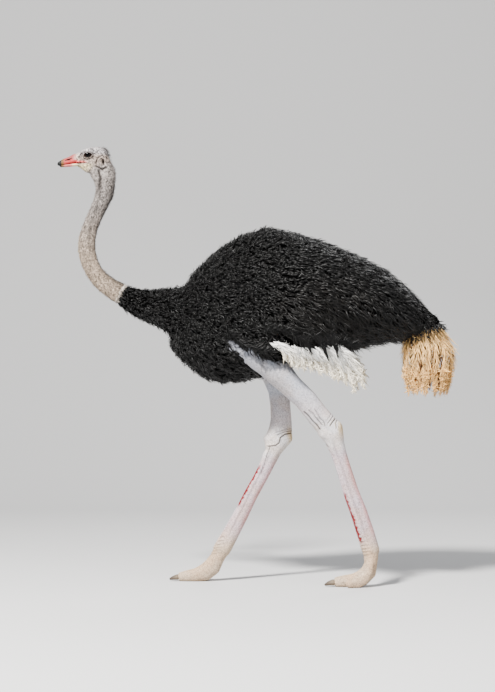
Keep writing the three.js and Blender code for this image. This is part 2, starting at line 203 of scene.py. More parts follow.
# %% [markdown]
# ## One skin
# The CAD flesh is in many solids with hairlines between them, and its surface is faceted. Joining them
# would keep both. A voxel remesh casts all of them into one closed surface instead, as clay pressed over
# an armature would be, and a smoothing takes the facets off.

# %% Reading and writing meshes


def read(items, key, width=1, kind=np.float32):
    """What a mesh stores under a key: one number, or one row of numbers, for each item."""
    flat = np.empty(len(items) * width, kind)
    items.foreach_get(key, flat)
    return flat if width == 1 else flat.reshape(-1, width)


def get_coords(mesh):
    return read(mesh.vertices, "co", 3)


def get_normals(mesh):
    return read(mesh.vertex_normals, "vector", 3)


def set_coords(mesh, coords):
    mesh.vertices.foreach_set("co", np.ascontiguousarray(coords, np.float32).ravel())
    mesh.update()


def get_values(mesh, name):
    layer = mesh.attributes[name]
    return read(layer.data, "value") if layer.data_type == "FLOAT" else read(layer.data, "vector", 3)


def put_values(mesh, name, values):
    """Stores one number, or one vector, for each vertex under a name."""
    kind, key = ("FLOAT", "value") if values.ndim == 1 else ("FLOAT_VECTOR", "vector")
    layer = mesh.attributes.get(name) or mesh.attributes.new(name, kind, "POINT")
    layer.data.foreach_set(key, np.ascontiguousarray(values, np.float32).ravel())


def count_triangles(mesh):
    return sum(len(face.vertices) - 2 for face in mesh.polygons)


# %% Casting solids into one surface
DOUBLES_APART = 1e-6


def spread(values, edges, steps):
    """Averages each vertex with its neighbours, steps times, so that a hard border becomes a soft one."""
    a, b = edges[:, 0], edges[:, 1]
    count = np.bincount(np.r_[a, b], minlength=len(values))
    for _ in range(steps):
        total = np.bincount(a, values[b], len(values)) + np.bincount(b, values[a], len(values))
        values = 0.5 * values + 0.5 * total / count
    return values


def baked(obj):
    """The mesh that an object's modifiers make, with the modifiers gone."""
    mesh = bpy.data.meshes.new_from_object(obj.evaluated_get(bpy.context.evaluated_depsgraph_get()))
    obj.modifiers.clear()
    obj.data = mesh
    return mesh


def cast(name, nodes, voxel, smoothing):
    """One closed, smoothed surface round copies of these CAD nodes."""
    shape = bmesh.new()
    for node in nodes:
        shape.from_mesh(frame["nodes"][node].data)
    bmesh.ops.remove_doubles(shape, verts=shape.verts, dist=DOUBLES_APART)
    mesh = bpy.data.meshes.new(name)
    shape.to_mesh(mesh)
    shape.free()
    obj = new_object(name, mesh)
    remesh = obj.modifiers.new("voxels", "REMESH")
    remesh.mode = "VOXEL"
    remesh.voxel_size = voxel
    smooth = obj.modifiers.new("smooth", "SMOOTH")
    smooth.factor = 0.5
    smooth.iterations = smoothing
    baked(obj)
    return obj


# %% Cast the skin
LEG_PARTS = ["thigh", "shank", "hock", "tarsus", "foot", "toe_inner", "toe_outer"]
LEGS = [f"{part}_{side}" for part in LEG_PARTS for side in SIDES]
SCALED = [f"{part}_{side}" for part in LEG_PARTS[3:] for side in SIDES]
NECK = ["neck_upper", "neck_middle", "neck_lower"]
WINGS = ["wing_left", "wing_right"]
PLUMED = ["trunk", "neck_base", *WINGS]
FLESH = ["head", *NECK, *PLUMED, *LEGS]
BILL = ["bill_upper", "bill_lower"]
SKIN_VOXEL = 0.005
SKIN_SMOOTHING = 7

skin = cast("skin", [*FLESH, *BILL, "eye_left", "eye_right"], SKIN_VOXEL, SKIN_SMOOTHING)
print("skin vertices:", len(skin.data.vertices))

# %% [markdown]
# The solids reach out to the feathers' tips, so under the plumage the skin has to sink by the coat's
# depth. The nearest CAD part tells each point of the skin where it is, and the depth is blurred over the
# borders.

# %% Which part each point of the skin belongs to
COVERED = [*FLESH, *BILL]


def nearest_nodes(points, nodes):
    """The index in nodes of the CAD part nearest to each point."""
    corners, faces, owner = [], [], []
    for index, node in enumerate(nodes):
        mesh = frame["nodes"][node].data
        start = len(corners)
        corners.extend(v.co.copy() for v in mesh.vertices)
        faces.extend(tuple(start + v for v in face.vertices) for face in mesh.polygons)
        owner.extend([index] * len(mesh.polygons))
    tree = BVHTree.FromPolygons(corners, faces)
    owner = np.array(owner)
    return owner[[tree.find_nearest(Vector(point))[2] for point in points]]


parts = nearest_nodes(get_coords(skin.data), COVERED)
edges = read(skin.data.edges, "vertices", 2, np.int32)


def belongs(*names):
    return np.isin(parts, [COVERED.index(name) for name in names])


def blurred(names, steps):
    """1 on these parts and 0 elsewhere, with a soft border."""
    return spread(belongs(*names).astype(float), edges, steps)


print({name: int(belongs(name).sum()) for name in ("head", "neck_base", "trunk", *BILL)})

# %% How deep the coat is
BODY_COAT = 0.022
BACK_COAT = 0.013
RUMP_COAT = 0.014
WING_COAT = 0.016
NECK_COAT = 0.002
COLLAR_COAT = 0.005
COLLAR_SWELL = 1.3
DEPTH_BLUR = 25


def ramp(values, start, end):
    """0 at start, 1 at end, with soft ends."""
    t = np.clip((values - start) / (end - start), 0, 1)
    return t * t * (3 - 2 * t)


def coat_depth(points, normals):
    low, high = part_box("neck_base")
    along_base = np.clip((points[:, 0] - low[0]) / (high[0] - low[0]), 0, 1)
    on_back = ramp(normals[:, 2], 0.2, 0.7) * ramp(points[:, 0], -0.25, -0.05)
    on_rump = ramp(points[:, 0], 0.35, 0.66)
    trunk, collar = belongs("trunk"), belongs("neck_base")
    depth = np.zeros(len(points))
    depth[belongs("head", *NECK)] = NECK_COAT
    depth[trunk] = (BODY_COAT + (BACK_COAT - BODY_COAT) * on_back)[trunk]
    depth = depth * (1 - on_rump) + RUMP_COAT * on_rump * (depth > 0)
    depth[belongs(*WINGS)] = WING_COAT
    depth[collar] = COLLAR_COAT + (BODY_COAT - COLLAR_COAT) * along_base[collar] ** COLLAR_SWELL
    depth = spread(depth, edges, DEPTH_BLUR)
    return depth * (1 - ramp(points[:, 0], EYE[0] - 0.012, EYE[0] - 0.040))


points = get_coords(skin.data)
depth = coat_depth(points, get_normals(skin.data))
sunk = points - get_normals(skin.data) * depth[:, None]
print("coat depth up to", round(float(depth.max()), 3))

# %% Sink the skin
BILL_SQUEEZE = 0.5
BILL_SHORTENING = 0.05
BILL_START = 0.045
BILL_DROP = 0.020
BILL_SLOPE = 0.15
EASING = 30

in_bill = ramp(blurred(BILL, 2), 0.5, 0.95) * BILL_SQUEEZE
forward = EYE[0] - points[:, 0]
bill_middle = EYE[2] - BILL_DROP - BILL_SLOPE * (forward - BILL_START)
sunk[:, 1] *= 1 - in_bill
sunk[:, 2] += (bill_middle - sunk[:, 2]) * in_bill
sunk[:, 0] += BILL_SHORTENING * in_bill * (forward - BILL_START)

plumed = blurred(PLUMED, 4)
eased = np.stack([spread(sunk[:, i], edges, EASING) for i in range(3)], 1)
share = ramp(plumed, 0.5, 1.0)[:, None]
set_coords(skin.data, sunk * (1 - share) + eased * share)
put_values(skin.data, "black", plumed)
put_values(skin.data, "leg", blurred(LEGS, 4))
put_values(skin.data, "scales", blurred(SCALED, 12))
put_values(skin.data, "wing", blurred(WINGS, 6))
print("black part of the skin:", round(float(plumed.mean()), 2))

# %% [markdown]
# ## The lie of the coat
# Feathers point away from the bill, along the neck and the back, and hang a little on the flanks. Combing
# them by hand would take days. One smooth line through the middles of the CAD parts gives the direction,
# and the surface takes away what would point into it.

# %% The line that the feathers follow
SPINE_NODES = ["bill_upper", "head", *NECK, "neck_base", "trunk"]
SPINE_SAMPLES = 400
RUMP_RISE = 0.16


def smooth_line(stops, samples):
    """Points of a curve that runs through the stops, evenly numbered from the first to the last."""
    stops = np.array(stops)
    padded = np.vstack([2 * stops[0] - stops[1], stops, 2 * stops[-1] - stops[-2]])
    t = np.linspace(0, len(stops) - 1, samples)
    i = np.minimum(t.astype(int), len(stops) - 2)
    u = (t - i)[:, None]
    a, b, c, d = (padded[i + k] for k in range(4))
    bend = (2 * a - 5 * b + 4 * c - d) * u**2
    return 0.5 * (2 * b + (c - a) * u + bend + (3 * b - a - 3 * c + d) * u**3)


rump = np.array([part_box("trunk")[1][0], 0, middle("tail_plumes")[2] + RUMP_RISE])
spine = smooth_line([*(middle(node) * (1, 0, 1) for node in SPINE_NODES), rump], SPINE_SAMPLES)
spine_way = np.gradient(spine, axis=0)
spine_way /= np.linalg.norm(spine_way, axis=1)[:, None]
spine_length = np.r_[0, np.cumsum(np.linalg.norm(np.diff(spine, axis=0), axis=1))]
print("spine length", round(float(spine_length[-1]), 2), "m")

# %% Comb the coat
FLANK_DROOP = 0.55
RUMP_DROOP = 1.5
AT_ONCE = 20000


def nearest_on_spine(points):
    best = np.empty(len(points), int)
    for start in range(0, len(points), AT_ONCE):
        block = points[start : start + AT_ONCE, None, ::2] - spine[None, :, ::2]
        best[start : start + AT_ONCE] = (block**2).sum(2).argmin(1)
    return best


def unit(vectors):
    return vectors / np.maximum(np.linalg.norm(vectors, axis=1), 1e-9)[:, None]


def lay_coat(mesh):
    """Stores on each vertex which way the coat lies, and a place on an unwrap round the spine."""
    points, normals = get_coords(mesh), get_normals(mesh)
    near = nearest_on_spine(points)
    way = spine_way[near].copy()
    on_body = get_values(mesh, "black")
    on_body = on_body * ramp(points[:, 0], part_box("neck_base")[0][0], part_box("trunk")[0][0] + 0.1)
    rear = ramp(points[:, 0], 0.05, CAD_BOX[1][0] - 0.2)
    low_down = ramp(spine[near][:, 2] - points[:, 2], -0.12, 0.10)
    droop = FLANK_DROOP + RUMP_DROOP * rear * low_down
    way[:, 2] -= droop * (1 - np.abs(normals[:, 2])) * on_body
    put_values(mesh, "lie", unit(way - normals * (way * normals).sum(1)[:, None]))
    offset = points - spine[near]
    up = np.cross(spine_way[near], (0, 1, 0)) * -1
    angle = np.arctan2(points[:, 1], (offset * up).sum(1))
    along = spine_length[near] / spine_length[-1]
    put_values(mesh, "place", np.stack([along, 0.5 + angle / (2 * math.pi), 0 * angle], 1))


lay_coat(skin.data)
print("lie stored for", len(skin.data.vertices), "vertices")

# %% [markdown]
# Under the black plumage nobody sees the skin, so it can be coarse there, which leaves more faces for the
# head and the legs. The feathers are planted on a copy that is kept fine.

# %% Thin the hidden skin
THINNED_SHARE = 0.36

planting = new_object("planting", skin.data.copy())
hidden = skin.vertex_groups.new(name="hidden")
deep = np.flatnonzero(get_values(skin.data, "black") > 0.98)
hidden.add([int(v) for v in deep], 1.0, "REPLACE")
thin = skin.modifiers.new("thin", "DECIMATE")
thin.ratio = THINNED_SHARE
thin.vertex_group = "hidden"
baked(skin)
print("skin faces after thinning:", len(skin.data.polygons))

# %% [markdown]
# ## The face
# The head needs finer faces than the rest, and the ring round the eye finer ones still, so only those
# faces are cut up. Bump in the finish would stop at the outline. So the face is modelled as a sculptor
# would do it, with pushes along the surface: the lids over the ball, their folds, the corner of the
# mouth, the ring of the ear. All of it is measured from the eye: forwards, upwards and outwards.

# %% Finer faces on the head


def refine(mesh, wanted):
    """Cuts each face in four where wanted(points) says so."""
    shape = bmesh.new()
    shape.from_mesh(mesh)
    chosen = wanted(get_coords(mesh))
    lines = [e for e in shape.edges if chosen[e.verts[0].index] and chosen[e.verts[1].index]]
    bmesh.ops.subdivide_edges(shape, edges=lines, cuts=1, use_grid_fill=True)
    shape.to_mesh(mesh)
    shape.free()


def from_eye(points):
    """How far forwards of the eye, above it, and out from the middle of the head each point is."""
    return EYE[0] - points[:, 0], points[:, 2] - EYE[2], np.abs(points[:, 1])


def on_head(points):
    forward, above, _ = from_eye(points)
    return (forward > -0.10) & (above > -0.085)


def on_face(points):
    forward, above, out = from_eye(points)
    by_eye = np.hypot(forward, above) < 0.031
    by_mouth = (np.abs(above + 0.032) < 0.012) & (forward > -0.016)
    by_ear = np.hypot(forward + 0.058, above + 0.033) < 0.029
    return (by_eye | by_mouth | by_ear) & (out > 0.012)


def on_lids(points):
    forward, above, out = from_eye(points)
    return (np.hypot(forward, above) < 0.0225) & (out > 0.014)


for wanted in (on_head, on_face, on_lids):
    refine(skin.data, wanted)
print("skin faces with a fine head:", len(skin.data.polygons))

# %% The opening of the eye
OPENING_HALF_LENGTH = 0.0154
OPENING_UPPER = 0.0074
OPENING_LOWER = 0.0084
OPENING_TILT = 0.06


def ridge(distance, width):
    """1 at no distance, falling off softly on both sides."""
    return np.exp(-((distance / width) ** 2))


def to_line(u, v, stops):
    """Distance from each (u, v) to a bent line."""
    best = np.full(len(u), 1.0)
    for (u0, v0), (u1, v1) in zip(stops, stops[1:]):
        du, dv = u1 - u0, v1 - v0
        t = np.clip(((u - u0) * du + (v - v0) * dv) / (du * du + dv * dv), 0, 1)
        best = np.minimum(best, np.hypot(u - u0 - t * du, v - v0 - t * dv))
    return best


def past_opening(forward, above):
    """Distance outside the edge of the eye's opening, which is lens-shaped, and negative inside it."""
    tilted = above + OPENING_TILT * forward
    height = np.where(tilted > 0, OPENING_UPPER, OPENING_LOWER)
    share = (np.abs(forward / OPENING_HALF_LENGTH) ** 1.8 + np.abs(tilted / height) ** 1.6) ** (1 / 1.7)
    share = np.maximum(share, 1e-3)
    return (share - 1) * np.hypot(forward, tilted) / share


print("eye opening", 2 * OPENING_HALF_LENGTH, "m long")

# %% Lids, folds, mouth and ear
LID_THICKNESS = 0.0016
LID_FOLDS = [
    # height, distance outside the opening, width, and where it is
    (0.0010, 0.0011, 0.0010, []),
    (-0.0013, 0.0046, 0.0011, ["upper"]),
    (0.0020, 0.0105, 0.0042, ["brow"]),
    (-0.0014, 0.0040, 0.0010, ["lower"]),
    (0.0009, 0.0063, 0.0013, ["lower"]),
    (-0.0013, 0.0090, 0.0013, ["lower", "behind"]),
]
CORNER_FOLDS = [
    # depth, width, and a line of places forwards of the eye and above it
    (0.0018, 0.0022, [(0.0175, -0.001), (0.026, 0.001)]),
    (0.0012, 0.0018, [(-0.0175, -0.001), (-0.030, 0.004)]),
]
GAPE = [(0.075, -0.0335), (0.049, -0.0315), (0.030, -0.0300), (0.010, -0.0310), (-0.006, -0.0345)]
EAR = (-0.058, -0.031)
THROAT_LENGTH = 0.026
THROAT_SAG = 0.015
NAPE_PUSH = 0.006
CROWN_SLOPE = 0.011


def fold_face(forward, above):
    """How far the skin stands out round the eye, at the mouth and at the ear."""
    edge = past_opening(forward, above)
    upper = ramp(above, -0.002, 0.004)
    where = {
        "upper": upper,
        "lower": 1 - upper,
        "brow": ramp(above, 0.006, 0.014),
        "behind": ramp(forward, 0.022, 0.004),
    }
    push = 0.0
    for height, distance, width, places in LID_FOLDS:
        fold = height * ridge(edge - distance, width)
        for place in places:
            fold = fold * where[place]
        push += fold
    for depth, width, stops in CORNER_FOLDS:
        push -= depth * ridge(to_line(forward, above, stops), width)

    mouth = to_line(forward, above, GAPE)
    push -= 0.0034 * ridge(mouth, 0.0013)
    push += 0.0010 * ridge(mouth - 0.0032, 0.0016)
    push += 0.0022 * ridge(np.hypot(forward + 0.017, above + 0.037), 0.011)

    ear = np.hypot((forward - EAR[0]) / 0.0175, (above - EAR[1]) / 0.0225)
    push += 0.0024 * ridge(ear - 0.92, 0.17) - 0.0016 * ridge(ear - 1.32, 0.14)
    hole = np.hypot((forward - EAR[0] + 0.0035) / 0.0058, (above - EAR[1] - 0.003) / 0.0115)
    push -= 0.0075 * ramp(hole, 1.25, 0.6)
    return push


def model_face(mesh):
    points = get_coords(mesh)
    forward, above, out = from_eye(points)
    side = np.sign(points[:, 1])
    flank = ramp(out, 0.010, 0.018) * on_head(points)
    reach = np.hypot(forward, above)
    edge = past_opening(forward, above)

    lid = EYE_OUT + np.sqrt(np.maximum((EYE_RADIUS + LID_THICKNESS) ** 2 - reach**2, 0))
    ball = EYE_OUT + np.sqrt(np.maximum((EYE_RADIUS - 0.0006) ** 2 - reach**2, 0))
    over_ball = (reach < EYE_RADIUS + LID_THICKNESS) & (out > 0.012)
    out = np.where(over_ball, np.maximum(out, lid - 0.0008 * ramp(reach, 0.012, 0.019)), out)
    out = np.where(over_ball & (edge < 0), ball - 0.0045 * ramp(-edge, 0.0, 0.0014), out)
    out = out + fold_face(forward, above) * flank
    points[:, 1] = np.where(on_head(points), side * out, points[:, 1])

    throat = ridge(forward - 0.006, THROAT_LENGTH) * ramp(above, -0.034, -0.050)
    throat = throat * ramp(above, -0.098, -0.070)
    points[:, 2] -= THROAT_SAG * throat * ramp(-get_normals(mesh)[:, 2], -0.2, 0.5)
    slope = NAPE_PUSH * ridge(above + 0.060, 0.034) - CROWN_SLOPE * ramp(above, -0.040, 0.004)
    points[:, 0] += ramp(forward, -0.055, -0.090) * slope
    set_coords(mesh, points)


model_face(skin.data)
print("face modelled on", int(on_head(get_coords(skin.data)).sum()), "vertices")

# %% [markdown]
# ## The hocks
# What looks like a backward knee is the bird's heel. Loose skin folds above it at the back, the joint
# bulges in front, and a groove runs down the side of the shank below, between the bone and the tendons.
# The folds are drawn as bent lines beside each hock, and the skin dips along them and rises a little
# beside them.

# %% Where the folds are
FOLDS_AT_FOOT = [-0.034, -0.022, -0.010, 0.004, 0.019, 0.035]
FOLD_REACH = 0.09
LEG_LINES = {
    # strength, width, and places backwards of the hock and above it
    "left": [
        (0.6, 0.0016, [(0.012, 0.092), (0.002, 0.074), (-0.012, 0.054), (-0.022, 0.046)]),
        (0.8, 0.0018, [(0.020, 0.082), (0.008, 0.064), (-0.004, 0.046), (-0.014, 0.036)]),
        (1.0, 0.0024, [(0.036, 0.074), (0.020, 0.056), (0.004, 0.038), (-0.004, 0.026)]),
        (0.7, 0.0020, [(0.026, 0.052), (0.018, 0.036), (0.020, 0.018)]),
        (1.0, 0.0028, [(-0.107, 0.081), (-0.088, 0.063), (-0.076, 0.047), (-0.058, 0.030), (-0.044, 0.012)]),
        (0.9, 0.0022, [(-0.090, 0.088), (-0.074, 0.076), (-0.062, 0.060), (-0.036, 0.030)]),
        (0.8, 0.0022, [(-0.066, 0.092), (-0.052, 0.072), (-0.046, 0.056), (-0.030, 0.044), (-0.024, 0.026)]),
        (0.6, 0.0026, [(-0.058, 0.000), (-0.044, -0.022), (-0.024, -0.044), (-0.008, -0.060)]),
    ],
    "right": [
        (0.6, 0.0018, [(-0.012, 0.034), (0.027, 0.046), (0.060, 0.050)]),
        (0.7, 0.0020, [(-0.005, 0.024), (0.027, 0.0375), (0.060, 0.041)]),
        (1.0, 0.0028, [(0.060, 0.032), (0.027, 0.027), (0.008, 0.013), (0.003, -0.008), (-0.011, -0.019),
                       (-0.042, -0.022)]),
        (0.9, 0.0024, [(-0.034, -0.022), (-0.044, -0.046), (-0.054, -0.080), (-0.072, -0.130)]),
    ],
}
KNOBS = {
    # height, width, and the place backwards of the hock and above it
    "left": [(0.006, 0.017, 0.038, 0.030), (0.006, 0.016, -0.036, -0.014), (-0.003, 0.012, 0.030, 0.075)],
    "right": [(0.007, 0.016, 0.046, 0.006), (0.009, 0.015, -0.050, 0.008), (-0.007, 0.013, -0.052, -0.036)],
}


def near_any(points, part, reach):
    distances = [np.linalg.norm(points - middle(f"{part}_{side}"), axis=1) for side in SIDES]
    return np.min(distances, axis=0) < reach


def at_folds(points):
    chosen = np.zeros(len(points), bool)
    for side, sign in SIDES.items():
        back, _, above = (points - middle(f"hock_{side}")).T
        lines = [to_line(back, above, stops) for _, _, stops in LEG_LINES[side]]
        chosen |= (np.min(lines, axis=0) < 0.0035) & (points[:, 1] * sign > 0.04)
    return chosen & near_any(points, "hock", FOLD_REACH)


refine(skin.data, lambda points: near_any(points, "hock", 0.068) | near_any(points, "foot", 0.045))
refine(skin.data, at_folds)
print("skin faces with fine hocks:", len(skin.data.polygons))

# %% Folds round the hocks
LINE_DEPTH = 0.0019
LINE_RIM = 0.0007
GROOVE_DEPTH = 0.0030
ANKLE_FOLD = (0.0018, 0.0026)


def along_tarsus(points, side):
    """How far down the tarsus from the hock each point is, and how far in front of its middle."""
    hock = middle(f"hock_{side}")
    down = unit((middle(f"tarsus_{side}") - hock)[None])[0]
    across = unit(np.array([[down[2], 0, -down[0]]]))[0]
    return (points - hock) @ down, (points - hock) @ across


def model_legs(mesh):
    points, normals = get_coords(mesh), get_normals(mesh)
    # crease marks where painted shade goes: along the fold lines, in the groove and in the ankle folds.
    push, crease = np.zeros(len(points)), np.zeros(len(points))
    for side, sign in SIDES.items():
        down, front = along_tarsus(points, side)
        here = (points[:, 1] * sign > 0.04) * ramp(get_values(mesh, "leg"), 0.5, 0.9)
        back, _, above = (points - middle(f"hock_{side}")).T
        for height, width, knob_back, knob_above in KNOBS[side]:
            push += height * ridge(np.hypot(back - knob_back, above - knob_above), width) * here
        for strength, width, stops in LEG_LINES[side]:
            line = to_line(back, above, stops)
            rim = LINE_RIM * ridge(line - 2.2 * width, width)
            push += (rim - LINE_DEPTH * ridge(line, width)) * strength * here
            crease = np.maximum(crease, strength * ridge(line, width) * here)
        shaft = ramp(down, 0.020, 0.060) * ramp(points[:, 2], 0.16, 0.22)
        groove = ridge(front - 0.006, 0.0045) * ramp(np.abs(normals[:, 1]), 0.4, 0.8) * shaft * here
        push -= GROOVE_DEPTH * groove
        crease = np.maximum(crease, 0.3 * groove)
        ankle = points[:, 2] - middle(f"foot_{side}")[2] + 0.2 * front
        for fold in FOLDS_AT_FOOT:
            dent = ridge(ankle - fold, ANKLE_FOLD[1]) * ramp(-normals[:, 0], -0.2, 0.6) * here
            push -= ANKLE_FOLD[0] * dent
            crease = np.maximum(crease, 0.45 * dent)
    set_coords(mesh, points + normals * push[:, None])
    put_values(mesh, "crease", crease)


put_values(planting.data, "crease", np.zeros(len(planting.data.vertices)))
model_legs(skin.data)
print("skin triangles with the hocks modelled:", count_triangles(skin.data))

# %% [markdown]
# ## Colours
# The skin shows through the down, so both must have the same markings. An image wrapped round the bird
# would stretch and need a seam. Instead one function paints every point of the skin from where it lies on
# the bird, and the tufts take over the colour of the place where they are planted.

# %% Paint box


def srgb(red, green, blue):
    """A colour given in 0 to 255, as the linear numbers that a material wants."""
    share = np.array([red, green, blue]) / 255
    return np.where(share < 0.04045, share / 12.92, ((share + 0.055) / 1.055) ** 2.4)


def paint(colors, *layers):
    """Lays colours over others, each by its share from 0 to 1 at every point."""
    for color, share in layers:
        share = np.clip(share, 0, 1)[:, None]
        colors = colors * (1 - share) + color * share
    return colors


def put_tint(mesh, colors):
    layer = mesh.attributes.get("tint") or mesh.attributes.new("tint", "FLOAT_COLOR", "POINT")
    flat = np.hstack([colors, np.ones((len(colors), 1))]).astype(np.float32)
    layer.data.foreach_set("color", flat.ravel())


# Painted shade for creases, folds and slits, and also the colour of the face's dark marks.
CREASE_SHADE_AND_MARKS = srgb(34, 28, 26)
BLACK = srgb(6, 6, 6)
TARSUS = srgb(196, 180, 186)
DUSTY = srgb(196, 174, 150)
SHIN_RED = srgb(122, 3, 14)
print("creases are painted", CREASE_SHADE_AND_MARKS.round(4))

# %% Markings of the bill, with painted shade in the nostril
CHEEK = srgb(164, 148, 137)
CHIN = srgb(198, 182, 146)
NAIL = srgb(5, 7, 6)
NAIL_ROOT = srgb(96, 66, 34)
BILL_PINK = srgb(158, 50, 50)
BILL_TOP = srgb(136, 66, 64)
BILL_LOW = srgb(170, 88, 84)
NOSTRIL_LINE = [(0.091, -0.0215), (0.080, -0.0180), (0.066, -0.0132)]


def paint_bill(points):
    forward, above, out = from_eye(points)
    low_half = ramp(above, -0.0330, -0.0360)
    slit = to_line(forward, above, NOSTRIL_LINE)
    return paint(
        BILL_TOP,
        (BILL_PINK, ramp(above, -0.0120, -0.0185)),
        (CHEEK, ramp(forward, 0.062, 0.038) * ramp(above, -0.024, -0.016)),
        (BILL_LOW, low_half),
        (CHIN, low_half * ramp(forward, 0.072, 0.052)),
        (NAIL_ROOT, ramp(forward, 0.091, 0.101)),
        (NAIL, ramp(forward, 0.1035, 0.1090)),
        # Painted shade in the nostril's slit.
        (CREASE_SHADE_AND_MARKS, ridge(slit, 0.0028) * ramp(out, 0.004, 0.008)),
    )


# %% Markings of the head, with painted shade in its folds and in the gape
PALE_CROWN = srgb(176, 170, 170)
GAPE_PINK = srgb(190, 74, 70)
LID = srgb(66, 57, 52)
# Dark strokes round the eye and the ear and down the neck. The two in front of the eye are dark bristles and
# the one down the neck is a dark streak; the one over the eye is a painted shadow under the brow, and those
# under and behind the eye are painted shade along the folds.
DARK_MARKS_AND_SHADE = [
    # strength, width, and places forwards of the eye and above it
    (1.00, 0.0036, [(0.036, -0.010), (0.030, 0.000), (0.026, 0.009)]),
    (0.85, 0.0026, [(0.027, -0.010), (0.023, -0.001), (0.021, 0.005)]),
    (1.00, 0.0036, [(0.012, -0.0150), (0.000, -0.0175), (-0.013, -0.0135), (-0.022, -0.004)]),
    (0.85, 0.0030, [(0.022, 0.008), (0.008, 0.0140), (-0.010, 0.0125), (-0.022, 0.004)]),
    (0.85, 0.0030, [(-0.022, 0.002), (-0.032, 0.008), (-0.042, 0.017)]),
    (1.00, 0.0038, [(-0.057, -0.002), (-0.046, -0.008), (-0.037, -0.018), (-0.032, -0.033)]),
    (1.00, 0.0042, [(-0.030, -0.044), (-0.046, -0.049), (-0.059, -0.058), (-0.070, -0.046)]),
    (1.00, 0.0038, [(-0.060, -0.018), (-0.063, -0.028), (-0.061, -0.040)]),
    (0.70, 0.0060, [(-0.044, -0.066), (-0.050, -0.095), (-0.044, -0.130), (-0.036, -0.150)]),
]


def paint_head(points, colors):
    forward, above, out = from_eye(points)
    head = ramp(above + 0.35 * forward, -0.075, -0.045) * ramp(forward, -0.112, -0.085)
    outer = ramp(out, 0.008, 0.016)
    mouth = to_line(forward, above, GAPE)
    pink = ramp(mouth, 0.0095, 0.0055) * ramp(above + 0.032, -0.002, 0.002) * ramp(forward, -0.006, 0.020)
    edge = past_opening(forward, above)
    colors = paint(
        colors,
        (PALE_CROWN, head),
        (CHEEK, head * ramp(above, 0.012, -0.008)),
        (CHIN, head * ramp(above, -0.030, -0.040) * ramp(forward, -0.03, 0.01)),
        (GAPE_PINK, pink * outer * 0.92),
        (paint_bill(points), ramp(forward, 0.030, 0.050)),
        (LID, head * outer * 0.90 * ramp(edge, 0.0046, 0.0024)),
        (CREASE_SHADE_AND_MARKS, head * outer * 0.95 * ramp(edge, 0.0026, 0.0012)),
        # Painted shade in the gape between the halves of the bill.
        (CREASE_SHADE_AND_MARKS, outer * ridge(mouth, 0.0013) * 0.85),
    )
    # Dark marks, with painted shade along the folds and under the brow.
    for strength, width, stops in DARK_MARKS_AND_SHADE:
        stroke = outer * strength * ridge(to_line(forward, above, stops), width)
        colors = paint(colors, (CREASE_SHADE_AND_MARKS, stroke))
    return colors


# %% Markings of the legs, with painted shade in their creases and a painted shadow under the wing
THIGH = srgb(178, 180, 190)
# The colour of a painted shadow that the wing casts on the upper thigh.
THIGH_PAINTED_SHADOW = srgb(112, 116, 126)
SHANK = srgb(196, 188, 191)
HOCK = srgb(214, 210, 211)
HEEL = srgb(208, 188, 150)
REAR_PINK = srgb(206, 158, 160)
RED_SHINS = {"left": (0.165, 0.385), "right": (0.295, 0.480)}
# Heights of that painted shadow's lower edge along the thigh.
THIGH_SHADOW_EDGE = [(-0.020, 0.905), (0.015, 0.879), (0.041, 0.850), (0.125, 0.859), (0.177, 0.831)]
THIGH_SHADOW_EDGE += [(0.210, 0.795)]


def paint_legs(points, normals, crease):
    height = points[:, 2]
    hock = np.where(points[:, 1] < 0, middle("hock_left")[2], middle("hock_right")[2])
    back = ramp(normals[:, 0], 0.2, 0.7)
    legs = paint(
        THIGH,
        (SHANK, ramp(height, hock + 0.20, hock + 0.08)),
        (HOCK, ramp(height, hock + 0.09, hock + 0.02)),
        (TARSUS, ramp(height, hock - 0.04, hock - 0.10)),
        (DUSTY, ramp(height, 0.24, 0.12)),
        (HEEL, back * ridge(height - hock - 0.018, 0.030) * 0.9),
        (REAR_PINK, back * ramp(height, hock - 0.06, hock - 0.14) * ramp(height, 0.16, 0.26) * 0.8),
    )
    for side, (red_low, red_high) in RED_SHINS.items():
        ragged = 0.07 * np.sin(height * 190 + 2 * np.sin(height * 57)) + 0.05 * np.sin(height * 433)
        edge = ramp(-normals[:, 0] + ragged, 0.52, 0.70) * (points[:, 1] * SIDES[side] > 0)
        reddened = ramp(height, red_low, red_low + 0.02) * ramp(height, red_high, red_high - 0.03)
        legs = paint(legs, (SHIN_RED, edge * reddened))
    # Painted shadow of the wing over the upper thigh, above a frayed line.
    frayed = 0.004 * np.sin(points[:, 0] * 340) + 0.003 * np.sin(points[:, 0] * 790 + 1)
    above_line = height - np.interp(points[:, 0], *np.array(THIGH_SHADOW_EDGE).T) + frayed
    shade = ramp(above_line, -0.004, 0.006) * 0.9
    # Painted shade along the creases of the legs.
    return paint(legs, (THIGH_PAINTED_SHADOW, shade), (CREASE_SHADE_AND_MARKS, crease * 0.95))


# %% Paint the skin
NECK_TOP = srgb(142, 134, 129)
NECK_LOW = srgb(156, 139, 122)
# Dark for the back edge of the neck, partly dark down and partly painted shade, and for the dark streak down
# its side.
NECK_SHADE_AND_STREAK = srgb(38, 34, 32)
COLLAR = srgb(212, 202, 190)
# A lighter grey-brown patch on the upper rear flank.
REAR_FLANK_BROWN = srgb(17, 15, 13)
REAR_FLANK_PLACE = (0.27, 1.10)
REAR_FLANK_REACH = (0.24, 0.13)
BARE_STRIP = [(-0.094, 0.962), (-0.064, 0.930), (-0.020, 0.895), (0.020, 0.870)]
BARE_STRIP_WIDTH = 0.013


def bare_strip(points):
    """The narrow strip of bare thigh that shows between the breast and the wing."""
    near = to_line(points[:, 0], points[:, 2], BARE_STRIP) < BARE_STRIP_WIDTH
    return near & (np.abs(points[:, 1]) > 0.12)


